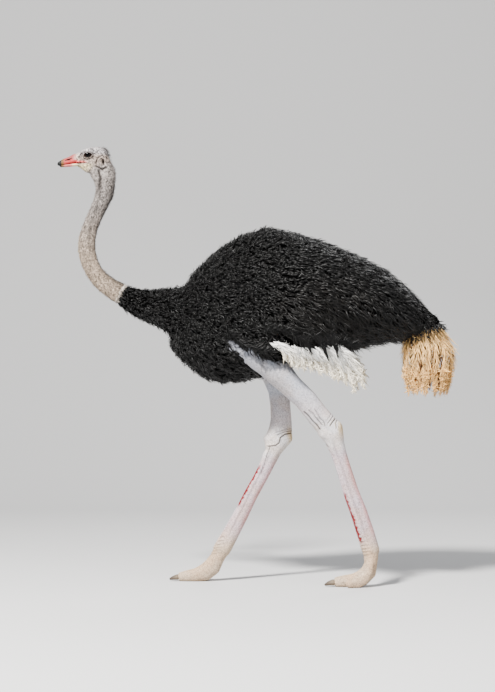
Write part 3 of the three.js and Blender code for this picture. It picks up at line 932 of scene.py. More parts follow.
def paint_skin(mesh):
    points = get_coords(mesh)
    height = points[:, 2]
    turn = np.abs(get_values(mesh, "place")[:, 1] - 0.5)
    # The back edge of the neck is darkened: partly dark down, partly painted shade.
    nape_shade_and_down = ridge(0.5 - turn, 0.12) * (0.45 + 0.45 * ramp(height, 1.64, 1.56))
    stripe = ridge(turn - 0.21, 0.030) * ramp(height, 1.22, 1.42) * 0.62
    neck = paint(NECK_LOW, (NECK_TOP, ramp(height, 1.25, 1.55)), (NECK_SHADE_AND_STREAK, nape_shade_and_down), (NECK_SHADE_AND_STREAK, stripe))
    black = get_values(mesh, "black")
    across = (points[:, 0] - REAR_FLANK_PLACE[0]) / REAR_FLANK_REACH[0]
    rear_flank_patch = ramp(np.hypot(across, (height - REAR_FLANK_PLACE[1]) / REAR_FLANK_REACH[1]), 1.2, 0.4)
    legs = paint_legs(points, get_normals(mesh), get_values(mesh, "crease"))
    return paint(
        paint_head(points, neck),
        (COLLAR, ramp(black, 0.002, 0.10) * 0.75),
        (BLACK, ramp(black, 0.25, 0.55)),
        (REAR_FLANK_BROWN, rear_flank_patch * (black > 0.5)),
        (THIGH, bare_strip(points)),
        (legs, ramp(get_values(mesh, "leg"), 0.35, 0.65)),
    )


for obj in (skin, planting):
    put_tint(obj.data, paint_skin(obj.data))
    print("painted", len(obj.data.vertices), "vertices of", obj.name)

# %% [markdown]
# ## Feathers
# An ostrich's feathers have no hooks to zip them flat, so each one falls open into loose, curling barbs.
# Flat cards with a picture of a feather look thin from the side. A tuft here is a few barbs instead: thin
# closed slivers that taper to a point and bend along an arc. A handful of different tufts is made once,
# and Geometry Nodes plants them all over the body.

# %% One curling sliver
ROUND_SIDES = 3


class Slivers:
    """Collects many thin tapering slivers into one mesh."""

    def __init__(self):
        self.points, self.faces, self.along, self.strand = [], [], [], []

    def add(self, path, width, flatness=0.45, strand=0.0, facing=(0.02, 0.05, 1.0)):
        """A closed sliver along the path, from its root to a point, with its flat side facing this way."""
        path = np.array(path, float)
        start = len(self.points)
        way = unit(np.gradient(path, axis=0))
        side = unit(np.cross(way, facing))
        up = np.cross(side, way)
        last = len(path) - 1
        for i in range(last):
            half = width / 2 * (0.75 + 0.5 * i / last if i < last * 0.5 else 1.6 * (1 - i / last) ** 0.8)
            for k in range(ROUND_SIDES):
                angle = 2 * math.pi * k / ROUND_SIDES + math.pi / 2
                offset = side[i] * half * math.cos(angle) + up[i] * half * flatness * math.sin(angle)
                self.points.append(path[i] + offset)
                self.along.append(i / last)
        self.points.append(path[last])
        self.along.append(1.0)
        self.strand.extend([strand] * (last * ROUND_SIDES + 1))
        self.add_faces(start, last)

    def add_faces(self, start, last):
        self.faces.append([start + k for k in reversed(range(ROUND_SIDES))])
        tip = start + last * ROUND_SIDES
        for i in range(last):
            for k in range(ROUND_SIDES):
                a, b = (start + i * ROUND_SIDES + j for j in (k, (k + 1) % ROUND_SIDES))
                self.faces.append([a, b, b + ROUND_SIDES, a + ROUND_SIDES] if i < last - 1 else [a, b, tip])

    def mesh(self, name):
        mesh = new_mesh(name, self.points, [], self.faces)
        put_values(mesh, "along", np.array(self.along))
        put_values(mesh, "strand", np.array(self.strand))
        mesh.shade_smooth()
        mesh.update()
        return mesh


def walk(length, pieces, direction):
    """Points of a path of this length, whose direction is known at each share of it."""
    point, path = np.zeros(3), [np.zeros(3)]
    for i in range(pieces):
        point = point + length / pieces * np.array(direction((i + 0.5) / pieces))
        path.append(point)
    return path


def kit(name, count, make):
    """A hidden collection with a few different tufts in it."""
    collection = bpy.data.collections.new(name)
    for i in range(count):
        slivers = Slivers()
        make(slivers, random.Random(f"{name} {i}"))
        collection.objects.link(bpy.data.objects.new(f"{name}_{i}", slivers.mesh(f"{name}_{i}")))
    return collection


# %% The tufts of the coat
BARB_FLATNESS = 0.25
VANE_FLATNESS = 0.10


def curl_path(rng, length, heading, lift, turn, pieces):
    """Points of a barb that starts at heading and lift, and turns by turn up to its tip, all in degrees."""
    roll = rng.uniform(-1, 1)

    def direction(share):
        bend = math.radians(turn) * share**1.6
        level = math.radians(lift) - bend * math.cos(roll)
        facing = math.radians(heading) + bend * math.sin(roll)
        return math.cos(level) * math.cos(facing), math.cos(level) * math.sin(facing), math.sin(level)

    return walk(length, pieces, direction)


def tuft(length, spray, lift, turn, width, vane=None, apart=0.0, pieces=5):
    """A maker of tufts: curling barbs over one broad flat vane. In metres, and in degrees."""

    def make(slivers, rng):
        for k in (-1, 1) if vane else (-1, 0, 1):
            shape = rng.uniform(*length), rng.uniform(-spray, spray), rng.uniform(*lift), rng.uniform(*turn)
            path = curl_path(rng, *shape, pieces)
            path = [point + (rng.uniform(-apart, apart), 0.8 * apart * k, 0) for point in path]
            slivers.add(path, rng.uniform(*width), BARB_FLATNESS, rng.uniform(0.35, 1.0))
        if vane:
            shape = length[0], rng.uniform(-14, 14), rng.uniform(18, 30), rng.uniform(25, 60)
            path = curl_path(rng, *shape, 3)
            slivers.add(path, rng.uniform(*vane), VANE_FLATNESS, rng.uniform(0.0, 0.35))

    return make


TUFTS = {
    # length, spray, lift, turn, width, and the vane's width, or none, how far apart, and in how many pieces
    "curled": ((0.032, 0.048), 50, (26, 56), (170, 340), (0.0028, 0.0044), (0.0080, 0.0110)),
    "sleek": ((0.038, 0.058), 32, (14, 36), (80, 240), (0.0026, 0.0040), (0.0070, 0.0095)),
    "loose": ((0.055, 0.088), 18, (10, 32), (20, 130), (0.0026, 0.0038), (0.0055, 0.0075)),
    "down": ((0.008, 0.014), 26, (8, 34), (10, 70), (0.0011, 0.0018), None, 0.002, 2),
}
CURLED, SLEEK, LOOSE, DOWN = (kit(f"{name}_tuft", 6, tuft(*sizes)) for name, sizes in TUFTS.items())

# %% [markdown]
# ## The tree that plants them
# Particle hair would do this too, but it isn't a mesh and gets lost on the way out of Blender. The
# tree's named inputs are what changes between the coat's zones.

# %% Helpers for building trees
SHARED_INPUTS = [("Kit", "Collection", None), ("Kinds", "Int", 1), ("Size", "Float", 1.0)]
SHARED_INPUTS += [("Seed", "Int", 1), ("Finish", "Material", None)]


def new_tree(name, *inputs):
    """A tree with named inputs, and what is given to them."""
    tree = bpy.data.node_groups.new(name, "GeometryNodeTree")
    tree.interface.new_socket("Geometry", in_out="INPUT", socket_type="NodeSocketGeometry")
    for label, kind, value in [*inputs, *SHARED_INPUTS]:
        socket = tree.interface.new_socket(label, in_out="INPUT", socket_type=f"NodeSocket{kind}")
        if value is not None:
            socket.default_value = value
    tree.interface.new_socket("Geometry", in_out="OUTPUT", socket_type="NodeSocketGeometry")
    return tree, tree.nodes.new("NodeGroupInput").outputs


def feed(tree, socket, value):
    """Links the socket to another one, or sets its value."""
    if isinstance(value, bpy.types.NodeSocket):
        tree.links.new(value, socket)
    else:
        socket.default_value = value


def add(tree, kind, inputs=None, **settings):
    """Adds a node, and feeds its sockets by name."""
    node = tree.nodes.new(kind)
    for key, value in settings.items():
        setattr(node, key, value)
    for key, value in (inputs or {}).items():
        feed(tree, next(socket for socket in node.inputs if socket.name == key and socket.enabled), value)
    return node


def first(tree, kind, inputs=None, **settings):
    """Adds a node, and gives the first of its outputs that is in use."""
    return next(socket for socket in add(tree, kind, inputs, **settings).outputs if socket.enabled)


def work_out(tree, operation, *values, kind="ShaderNodeMath"):
    """Adds a node that works out its sockets in their order."""
    node = add(tree, kind, operation=operation)
    for socket, value in zip([socket for socket in node.inputs if socket.enabled], values):
        feed(tree, socket, value)
    return node.outputs[0]


def vector_work(tree, operation, *values):
    return work_out(tree, operation, *values, kind="ShaderNodeVectorMath")


def stored(tree, name, kind="FLOAT"):
    return first(tree, "GeometryNodeInputNamedAttribute", {"Name": name}, data_type=kind)


def chance(tree, low, high, seed, kind="FLOAT"):
    return first(tree, "FunctionNodeRandomValue", {"Min": low, "Max": high, "Seed": seed}, data_type=kind)


# %% Branches that the trees share
TONE_SEED = 11


def stand(tree, primary, secondary, axes):
    """A rotation that lays the first of the two axes along primary, and the other towards secondary."""
    return first(
        tree,
        "FunctionNodeAxesToRotation",
        {"Primary Axis": primary, "Secondary Axis": secondary},
        primary_axis=axes[0],
        secondary_axis=axes[1],
    )


def turn_by(tree, rotation, angles):
    """Turns on from a rotation, about its own axes."""
    by = first(tree, "FunctionNodeEulerToRotation", {"Euler": angles})
    settings = {"Rotation": rotation, "Rotate By": by}
    return first(tree, "FunctionNodeRotateRotation", settings, rotation_space="LOCAL")


def set_out(tree, given, points, rotation, sizes, size_seed, pick_seed):
    tone = {"Geometry": points, "Name": "tone", "Value": chance(tree, 0.0, 1.0, TONE_SEED)}
    toned = first(tree, "GeometryNodeStoreNamedAttribute", tone, data_type="FLOAT", domain="POINT")
    size = work_out(tree, "MULTIPLY", given["Size"], stored(tree, "long"))
    size = work_out(tree, "MULTIPLY", size, chance(tree, *sizes, size_seed))
    kinds = {"Collection": given["Kit"], "Separate Children": True, "Reset Children": True}
    last_kind = work_out(tree, "SUBTRACT", given["Kinds"], 1)
    pieces = {
        "Points": toned,
        "Instance": first(tree, "GeometryNodeCollectionInfo", kinds),
        "Pick Instance": True,
        "Instance Index": chance(tree, 0, last_kind, pick_seed, "INT"),
        "Rotation": rotation,
        "Scale": size,
    }
    return first(tree, "GeometryNodeInstanceOnPoints", pieces)


def end_tree(tree, given, instances, *others):
    """Ends a tree with its instances realized, joined with other geometry, and given its finish."""
    real = first(tree, "GeometryNodeRealizeInstances", {"Geometry": instances})
    joined = add(tree, "GeometryNodeJoinGeometry")
    for geometry in (real, *others):
        tree.links.new(geometry, joined.inputs[0])
    ending = {"Geometry": joined.outputs[0], "Material": given["Finish"]}
    finished = first(tree, "GeometryNodeSetMaterial", ending)
    tree.links.new(finished, tree.nodes.new("NodeGroupOutput").inputs[0])
    print(tree.name, "tree has", len(tree.nodes), "nodes")
    return tree


# %% The coat tree
LEAN_SHARES = (0.45, 0.40, 1.0)
DENSITY_SHARE = 3.0


def clump_lean(tree, clumps, clumping):
    """A turn that neighbours share, so that tufts fall together into locks."""
    place = first(tree, "GeometryNodeInputPosition")
    field = add(tree, "ShaderNodeTexNoise", {"Vector": place, "Scale": clumps, "Detail": 1.0})
    centred = vector_work(tree, "SUBTRACT", field.outputs["Color"], (0.5, 0.5, 0.5))
    return vector_work(tree, "MULTIPLY", vector_work(tree, "SCALE", centred, clumping), LEAN_SHARES)


def build_coat_tree():
    changing = [("Zone", "String", "black"), ("Spacing", "Float", 0.009), ("Ruffle", "Float", 0.22)]
    tree, given = new_tree("coat", *changing, ("Clumps", "Float", 34.0), ("Clumping", "Float", 2.6))
    area = work_out(tree, "POWER", given["Spacing"], 2.0)
    scattering = {
        "Mesh": given["Geometry"],
        "Distance Min": given["Spacing"],
        "Density Max": work_out(tree, "DIVIDE", DENSITY_SHARE, area),
        "Density Factor": stored(tree, given["Zone"]),
        "Seed": given["Seed"],
    }
    kind = "GeometryNodeDistributePointsOnFaces"
    scattered = add(tree, kind, scattering, distribute_method="POISSON").outputs
    standing = stand(tree, scattered["Normal"], stored(tree, "lie", "FLOAT_VECTOR"), "ZX")
    most = first(tree, "ShaderNodeCombineXYZ", {axis: given["Ruffle"] for axis in "XYZ"})
    ruffle = chance(tree, vector_work(tree, "SCALE", most, -1.0), most, 7, "FLOAT_VECTOR")
    turned = vector_work(tree, "ADD", ruffle, clump_lean(tree, given["Clumps"], given["Clumping"]))
    rotation = turn_by(tree, standing, turned)
    return end_tree(tree, given, set_out(tree, given, scattered["Points"], rotation, (0.78, 1.22), 5, 3))


def run_tree(obj, tree, values):
    """Puts the tree on an object with these inputs, and keeps only the mesh that comes out."""
    modifier = obj.modifiers.new(tree.name, "NODES")
    modifier.node_group = tree
    values = {**values, "Kinds": len(values["Kit"].objects)}
    for item in tree.interface.items_tree:
        if item.in_out == "INPUT" and item.name in values:
            modifier[item.identifier] = values[item.name]
    mesh = baked(obj)
    mesh.name = obj.name
    return mesh


coat_tree = build_coat_tree()

# %% [markdown]
# ## Finishes
# A plain colour looks like plastic. A finish starts from the painted tint, and procedural noise breaks it
# up: specks in the down, fine cracks in the bare skin, and a gloss on the black barbs that changes from
# strand to strand. The noise reads the object's own coordinates, so it needs no unwrap.

# %% Helpers for building materials


def painted(tree, name):
    """What is stored on the mesh under a name, as a colour for the tint and as a number otherwise."""
    node = add(tree, "ShaderNodeAttribute", attribute_name=name)
    return node.outputs["Color" if name == "tint" else "Fac"]


def noise(tree, scale, detail=3.0, stretch=(1, 1, 1)):
    """Noise on the object's own coordinates, from 0 to 1."""
    place = add(tree, "ShaderNodeTexCoord").outputs["Object"]
    mapped = first(tree, "ShaderNodeMapping", {"Vector": place, "Scale": stretch})
    return first(tree, "ShaderNodeTexNoise", {"Vector": mapped, "Scale": scale, "Detail": detail})


def cells(tree, scale):
    """Distance from the borders of irregular cells."""
    place = add(tree, "ShaderNodeTexCoord").outputs["Object"]
    settings = {"Vector": place, "Scale": scale}
    return first(tree, "ShaderNodeTexVoronoi", settings, feature="DISTANCE_TO_EDGE")


def graded(tree, value, *stops):
    """Maps a value through stops of (position, grey or colour)."""
    node = add(tree, "ShaderNodeValToRGB", {"Fac": value})
    while len(node.color_ramp.elements) < len(stops):
        node.color_ramp.elements.new(0.5)
    for element, (position, color) in zip(node.color_ramp.elements, stops):
        element.position = position
        element.color = (*np.broadcast_to(color, 3), 1)
    return node.outputs[0]


def blend(tree, a, b, share, **settings):
    """Mixes two colours, each of them a socket or three numbers."""
    a, b = (value if isinstance(value, bpy.types.NodeSocket) else (*value, 1) for value in (a, b))
    return first(tree, "ShaderNodeMix", {"Factor": share, "A": a, "B": b}, data_type="RGBA", **settings)


def multiply(tree, *colors):
    product = colors[0]
    for color in colors[1:]:
        product = blend(tree, product, color, 1.0, blend_type="MULTIPLY")
    return product


def bump(tree, shader, height, distance, strength):
    settings = {"Height": height, "Distance": distance, "Strength": strength}
    tree.links.new(first(tree, "ShaderNodeBump", settings), shader.inputs["Normal"])


# %% Skin finish
# Near-black painted shade at the bottom of the gaps in the black coat.
GAP_SHADE_BLACK = srgb(3, 3, 3)
SKIN_BUMP = 0.0011
FLUFF_BUMP = 0.004


def skin_finish():
    material, tree, shader = new_material("skin", 0.72, Specular_IOR_Level=0.15)
    leg, scales, tint = (painted(tree, name) for name in ("leg", "scales", "tint"))
    specks = graded(tree, noise(tree, 120, 4.0), (0.39, 0.16), (0.52, 0.86), (0.68, 1.30))
    patches = graded(tree, noise(tree, 28), (0.3, 0.88), (0.7, 1.06))
    cracks = graded(tree, cells(tree, 210), (0.0, 0.55), (0.12, 1.0))
    fine_cracks = graded(tree, cells(tree, 420), (0.0, 0.72), (0.14, 1.0))
    wide_cracks = graded(tree, cells(tree, 60), (0.0, 0.70), (0.06, 1.0))
    flakes = graded(tree, noise(tree, 190, 4.0), (0.34, 0.66), (0.50, 0.98), (0.72, 1.12))
    dust = graded(tree, noise(tree, 14, 4.0), (0.42, (1, 1, 1)), (0.62, (0.92, 0.84, 0.76)))
    downy = multiply(tree, tint, specks, patches)
    bare = multiply(tree, tint, blend(tree, fine_cracks, cracks, scales), wide_cracks, patches, flakes, dust)
    tree.links.new(blend(tree, downy, bare, leg), shader.inputs["Base Color"])
    rough = work_out(tree, "MULTIPLY", noise(tree, 420), 0.5)
    fine = work_out(tree, "MULTIPLY", work_out(tree, "MULTIPLY", cells(tree, 420), 0.7), leg)
    plated = work_out(tree, "MULTIPLY", work_out(tree, "MULTIPLY", cells(tree, 210), 1.5), scales)
    bump(tree, shader, work_out(tree, "ADD", work_out(tree, "ADD", rough, fine), plated), SKIN_BUMP, 0.7)
    return material


def gap_shade_finish():
    """The near-black, dull bottom of the gaps between the black feathers: painted shade for the coat's
    depth.
    """
    material, tree, shader = new_material("underfluff", 1.0, Specular_IOR_Level=0.0)
    gap_grain = graded(tree, noise(tree, 120), (0.3, 0.5), (0.7, 1.3))
    tree.links.new(multiply(tree, GAP_SHADE_BLACK, gap_grain), shader.inputs["Base Color"])
    bump(tree, shader, noise(tree, 160), FLUFF_BUMP, 0.8)
    return material


skin.data.materials.clear()
for finish in (skin_finish(), gap_shade_finish()):
    skin.data.materials.append(finish)
# Faces under the black plumage take the near-black painted shade.
dark_points = get_values(skin.data, "black") > 0.9
dark_points &= ~bare_strip(get_coords(skin.data))
under_black = [int(dark_points[list(face.vertices)].all()) for face in skin.data.polygons]
skin.data.polygons.foreach_set("material_index", under_black)
print("faces under the black plumage:", sum(under_black))

# %% Feather finishes


def feather_finish(
    name, roughness, low, high, tipped=None, clumps=90, clump_low=0.7, root=1.0, specular=0.5
):
    """Painted tint, darker by tuft and strand, with painted shade at the root and another tip colour."""
    material, tree, shader = new_material(name, roughness, Specular_IOR_Level=specular)
    tone = work_out(tree, "ADD", painted(tree, "tone"), painted(tree, "strand"))
    tone = work_out(tree, "MULTIPLY", tone, 0.5)
    along = painted(tree, "along")
    color = multiply(
        tree,
        painted(tree, "tint"),
        graded(tree, tone, (0.15, low), (0.85, high)),
        graded(tree, noise(tree, 9, 4.0), (0.3, 0.82), (0.7, 1.12)),
        graded(tree, noise(tree, clumps), (0.36, clump_low), (0.5, 1.0), (0.72, 1.15)),
        # Painted shade: the root is darker, by the share root, up to full colour halfway along.
        graded(tree, along, (0.0, root), (0.5, 1.0)),
    )
    if tipped is not None:
        color = blend(tree, color, tipped, graded(tree, along, (0.35, 0.0), (1.0, 1.0)))
    tree.links.new(color, shader.inputs["Base Color"])
    fine = graded(tree, noise(tree, 500, 2.0), (0.3, roughness - 0.08), (0.7, roughness + 0.1))
    tree.links.new(fine, shader.inputs["Roughness"])
    return material


# Black barbs with painted shade at their roots, and lighter brownish-grey tips that are partly their own
# colour and partly painted glints.
BLACK_FEATHER = feather_finish("black_feather", 0.42, 0.08, 2.0, srgb(19, 18, 17), root=0.2, specular=0.24)
DOWN_FEATHER = feather_finish("down_feather", 0.75, 0.36, 1.36, None, 170, 0.30, specular=0.2)
print("finishes:", BLACK_FEATHER.name, DOWN_FEATHER.name)

# %% [markdown]
# ## The black coat
# The coat goes on in zones, because a piece with too many faces is awkward to handle. The feathers are
# short and tightly curled on the breast and shoulders, and longer and looser on the rump and along the
# wing's lower edge. Each zone is a number on every point of the fine copy, and the tree plants where it
# is 1.

# %% Length of the feathers
points = get_coords(planting.data)
long = 0.55 + 0.45 * ramp(points[:, 0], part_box("neck_base")[0][0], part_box("trunk")[0][0] + 0.14)
long *= 1 - 0.08 * ramp(get_values(planting.data, "wing"), 0.4, 0.9)
long *= 1 - 0.76 * ramp(points[:, 0], 0.58, 0.73)
put_values(planting.data, "long", long)
print("shortest and longest feathers, as shares:", float(long.min()), float(long.max()))

# %% Zones of the coat
PLUME_TOP = [(0.040, 0.984), (0.140, 0.984), (0.185, 0.945), (0.240, 0.952), (0.320, 0.968)]
PLUME_TOP += [(0.400, 0.940)]
PLUME_FRONT = [(0.873, 0.112), (0.920, 0.078), (0.963, 0.026)]
PLUMES_END = 0.395
PLUMES_INSIDE = 0.11
WING_UNDERSIDE = 0.905
BREAST_END = -0.12


def follow(values, stops):
    """Height of a bent line at these values."""
    return np.interp(values, *np.array(stops).T)


past_front = points[:, 0] > follow(points[:, 2], PLUME_FRONT)
behind_plumes = past_front & (points[:, 2] < follow(points[:, 0], PLUME_TOP))
behind_plumes &= (points[:, 0] < PLUMES_END) & (np.abs(points[:, 1]) > PLUMES_INSIDE)
under_wing = past_front & (points[:, 2] < WING_UNDERSIDE)
cover = ramp(get_values(planting.data, "black"), 0.35, 0.6) * ~behind_plumes * ~under_wing
cover = cover * (1 - bare_strip(points))
front = points[:, 0] < BREAST_END
hanging = ramp(points[:, 0], 0.06, 0.18) * ramp(1.16 - 0.16 * points[:, 0] - points[:, 2], -0.03, 0.03)
rearward = ramp(points[:, 0], 0.05, 0.21)
top = cover * ~front * (1 - hanging)
shares = {"breast": cover * front, "back_front": top * (1 - rearward), "back_rear": top * rearward}
shares["hanging"] = cover * hanging
for side, sign in SIDES.items():
    for zone, share in shares.items():
        put_values(planting.data, f"{zone}_{side}", (share * (points[:, 1] * sign > 0)).astype(float))
print("zones:", list(shares))

# %% Helpers for finished pieces
TUFT_PATCH = 0.003


def add_bake_map(mesh):
    """Gives each tuft its own small patch of the map, at its root's place on the unwrap of the skin."""
    corners = read(mesh.loops, "vertex_index", kind=np.int32)
    spot = np.stack([get_values(mesh, "strand") - 0.5, get_values(mesh, "along") - 0.5], 1) * TUFT_PATCH
    patches = get_values(mesh, "place")[:, :2] + spot
    layer = mesh.uv_layers.new(name="OFBake")
    layer.uv.foreach_set("vector", np.ascontiguousarray(patches[corners], np.float32).ravel())
    mesh.uv_layers.active = layer


def finish_piece(piece, slot, *replaced):
    """Puts the piece on the root body and hides the CAD nodes it stands for. The slot is not used."""
    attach(piece, "root")
    if replaced:
        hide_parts(*replaced)
    print(piece.name, "triangles", count_triangles(piece.data))


def plant(name, ground, slot, **values):
    piece = new_object(name, ground.data.copy())
    add_bake_map(run_tree(piece, coat_tree, values))
    finish_piece(piece, slot)


# %% Plant the black coat
COAT = {
    # tufts, spacing and ruffle
    "breast": (CURLED, 0.0084, 0.5),
    "back_front": (CURLED, 0.0088, 0.5),
    "back_rear": (SLEEK, 0.0088, 0.2),
    "hanging": (LOOSE, 0.0089, 0.2),
}
zones = [(f"{zone}_{side}", COAT[zone]) for side in SIDES for zone in COAT]
for seed, (zone, (tufts, spacing, ruffle)) in enumerate(zones):
    inputs = {"Kit": tufts, "Zone": zone, "Spacing": spacing, "Ruffle": ruffle}
    plant(f"coat_{zone}", planting, "black_plumage", **inputs, Seed=seed, Finish=BLACK_FEATHER)
bpy.data.objects.remove(planting)

# %% [markdown]
# ## Down on the neck and head
# Short down lies flat here. Covering it all with tufts would cost many faces for little to see, so the
# skin's grain does most of it, and small tufts only break the outline. The bill, the mouth and the lids
# stay bare.

# %% Plant the down
DOWN_ZONES = {"neck_down": ("down_neck", 0.0046, 21), "head_down": ("down_head", 0.0030, 22)}

points = get_coords(skin.data)
forward, above, out = from_eye(points)
hairy = ramp(get_values(skin.data, "black"), 0.6, 0.3) * ramp(get_values(skin.data, "leg"), 0.4, 0.1)
near_eye = ramp(past_opening(forward, above), 0.004, 0.012)
near_bill = ramp(forward, 0.040, 0.030)
near_mouth = ramp(to_line(forward, above, GAPE), 0.004, 0.010)
put_values(skin.data, "neck_down", hairy * ~on_head(points))
put_values(skin.data, "head_down", hairy * (on_head(points) * near_eye * near_bill * near_mouth))
put_values(skin.data, "long", np.where(on_head(points), 0.5, 1.0))
for zone, (name, spacing, seed) in DOWN_ZONES.items():
    inputs = {"Kit": DOWN, "Zone": zone, "Spacing": spacing, "Clumps": 90.0, "Clumping": 1.6}
    plant(name, skin, "neck_down", **inputs, Seed=seed, Finish=DOWN_FEATHER)

# %% [markdown]
# ## Plumes
# The white wing plumes and the tail are long feathers with a shaft that bends under its own weight.
# Modelled one by one they would all be alike or take for ever. Each shaft is a curve here, and a second
# tree sets loose barbs along it, on two sides, sweeping towards the tip and curling at their ends.

# %% Barbs for the plumes
BARB_FACING = (0.05, 1.0, 0.02)
BROAD_BARBS = 0.4


def barb_path(rng, length, sweep, curl, pieces, late):
    """Points of a barb that leaves the shaft, which runs along z, at sweep degrees and bends back to it."""
    roll = rng.uniform(-0.7, 0.7) + rng.choice((0, math.pi))
    twist, wave = math.radians(curl), rng.uniform(0, 6)

    def direction(share):
        polar = math.radians(sweep) * (1 - 0.7 * share) + twist * share**late * math.cos(roll)
        polar += 0.16 * math.sin(wave + 5 * share)
        facing = twist * share**2 * math.sin(roll)
        return math.sin(polar) * math.cos(facing), math.sin(polar) * math.sin(facing), math.cos(polar)

    return walk(length, pieces, direction)


def barb(length, sweep, curl, width, broad, pieces=5, late=3):
    """A maker of barbs. Two in five are broad and flat. A late curl is all at the tip."""

    def make(slivers, rng):
        flat = rng.random() < BROAD_BARBS
        bend = rng.uniform(*curl) * (0.3 if flat else 1)
        path = barb_path(rng, rng.uniform(*length), rng.uniform(*sweep), bend, pieces, late)
        wide, thick = (rng.uniform(*broad), 0.10) if flat else (rng.uniform(*width), 0.30)
        slivers.add(path, wide, thick, rng.random(), BARB_FACING)

    return make


BARBS = {
    # length, sweep, curl, width, width of a broad one, and in how many pieces, and how late it curls
    "white_barb": ((0.040, 0.074), (12, 44), (40, 240), (0.0026, 0.0042), (0.006, 0.010)),
    "tail_barb": ((0.050, 0.095), (4, 22), (40, 200), (0.0020, 0.0036), (0.005, 0.0075), 6),
    "end_curl": ((0.030, 0.046), (10, 60), (240, 420), (0.0040, 0.0062), (0.007, 0.0095), 7, 1.2),
    "black_barb": ((0.036, 0.064), (40, 85), (40, 200), (0.0024, 0.0040), (0.006, 0.009)),
    "lock_barb": ((0.030, 0.056), (3, 14), (5, 50), (0.0022, 0.0036), (0.005, 0.008)),
}
WHITE_BARBS, TAIL_BARBS, END_CURLS, BLACK_BARBS, LOCK_BARBS = (
    kit(name, 10, barb(*sizes)) for name, sizes in BARBS.items()
)

# %% The plume tree
SHAFT_RADIUS = 0.0012
SHAFT_SIDES = 5


def along_lines(tree, given):
    """The mesh's lines as a curve, and points along it a step apart."""
    curve = first(tree, "GeometryNodeMeshToCurve", {"Mesh": given["Geometry"]})
    stepping = {"Curve": curve, "Length": given["Step"]}
    return curve, add(tree, "GeometryNodeCurveToPoints", stepping, mode="LENGTH").outputs


def build_plume_tree():
    tree, given = new_tree("plume", ("Step", "Float", 0.002), ("Fan", "Float", 0.9))
    curve, along = along_lines(tree, given)
    standing = stand(tree, along["Tangent"], stored(tree, "side", "FLOAT_VECTOR"), "ZX")
    flip = work_out(tree, "MULTIPLY", chance(tree, 0, 1, 2, "INT"), math.pi)
    fan = work_out(tree, "MULTIPLY", chance(tree, -1.0, 1.0, 4), given["Fan"])
    angles = {"X": chance(tree, -0.2, 0.2, 8), "Z": work_out(tree, "ADD", flip, fan)}
    rotation = turn_by(tree, standing, first(tree, "ShaderNodeCombineXYZ", angles))
    barbs = set_out(tree, given, along["Points"], rotation, (0.7, 1.25), 5, given["Seed"])
    round_shaft = {"Resolution": SHAFT_SIDES, "Radius": SHAFT_RADIUS}
    ring = first(tree, "GeometryNodeCurvePrimitiveCircle", round_shaft)
    swept = {"Curve": curve, "Profile Curve": ring, "Fill Caps": True}
    return end_tree(tree, given, barbs, first(tree, "GeometryNodeCurveToMesh", swept))


plume_tree = build_plume_tree()

# %% Helpers for shafts
SHAFT_STEPS = 14
PATCH_STEPS = (0.003, 0.0035)


def lines_mesh(name, lines):
    """A mesh of lines with no faces."""
    edges, start = [], 0
    for line in lines:
        edges.extend((start + i, start + i + 1) for i in range(len(line) - 1))
        start += len(line)
    return new_mesh(name, np.vstack(lines), edges, [])


def shafts_mesh(name, shafts, corner, skipped, steps):
    """Bent lines for shafts: (stops, side, colours at root and tip, barb length at root and tip)."""
    lines, sides, longs, places, colors = [], [], [], [], []
    for row, (stops, side, (root_color, tip_color), (root_long, tip_long)) in enumerate(shafts):
        lines.append(smooth_line(stops, steps)[skipped:])
        for i in range(steps - skipped):
            share = (i + skipped) / (steps - 1)
            sides.append(side)
            longs.append(root_long + (tip_long - root_long) * share)
            places.append((corner[0] + PATCH_STEPS[0] * i, corner[1] + PATCH_STEPS[1] * row, 0))
            colors.append(root_color * (1 - share) + tip_color * share)
    mesh = lines_mesh(name, lines)
    for key, values in (("side", sides), ("long", longs), ("place", places)):
        put_values(mesh, key, np.array(values))
    put_tint(mesh, np.array(colors))
    return mesh


def grow(name, shafts, corner, slot, *replaced, skipped=0, steps=SHAFT_STEPS, **values):
    """Grows barbs on shafts. The corner is where the piece's patches start on the bake map."""
    piece = new_object(name, shafts_mesh(name, shafts, corner, skipped, steps))
    mesh = run_tree(piece, plume_tree, values)
    add_bake_map(mesh)
    mesh.shade_smooth()
    finish_piece(piece, slot, *replaced)


# %% [markdown]
# A cock's wing ends in a row of pure white plumes, which hang over the thigh. Their roots and tips follow
# a short table, and the curls at their ends are a piece of their own, as they are what gives plumes their
# froth.

# %% White plumes of the wings
WHITE = srgb(255, 255, 253)
CREAM = srgb(250, 238, 212)
PLUME_ROWS = 3
PLUMES_PER_ROW = 12
PLUME_OUT = 0.260
PLUME_STOPS = [
    # share, root x and z, tip x and z, all from the corner of the plumes' box
    (0.00, -0.036, 0.200, 0.026, 0.136),
    (0.20, 0.004, 0.198, 0.067, 0.102),
    (0.40, 0.057, 0.182, 0.122, 0.096),
    (0.60, 0.107, 0.176, 0.192, 0.078),
    (0.80, 0.157, 0.181, 0.257, 0.042),
    (0.90, 0.192, 0.186, 0.299, 0.012),
    (1.00, 0.217, 0.188, 0.347, 0.044),
]
PLUME_SAG = (0.012, 0, 0.010)
WHITE_FEATHER = feather_finish("white_feather", 0.7, 0.94, 1.0, None, 60, 0.92)


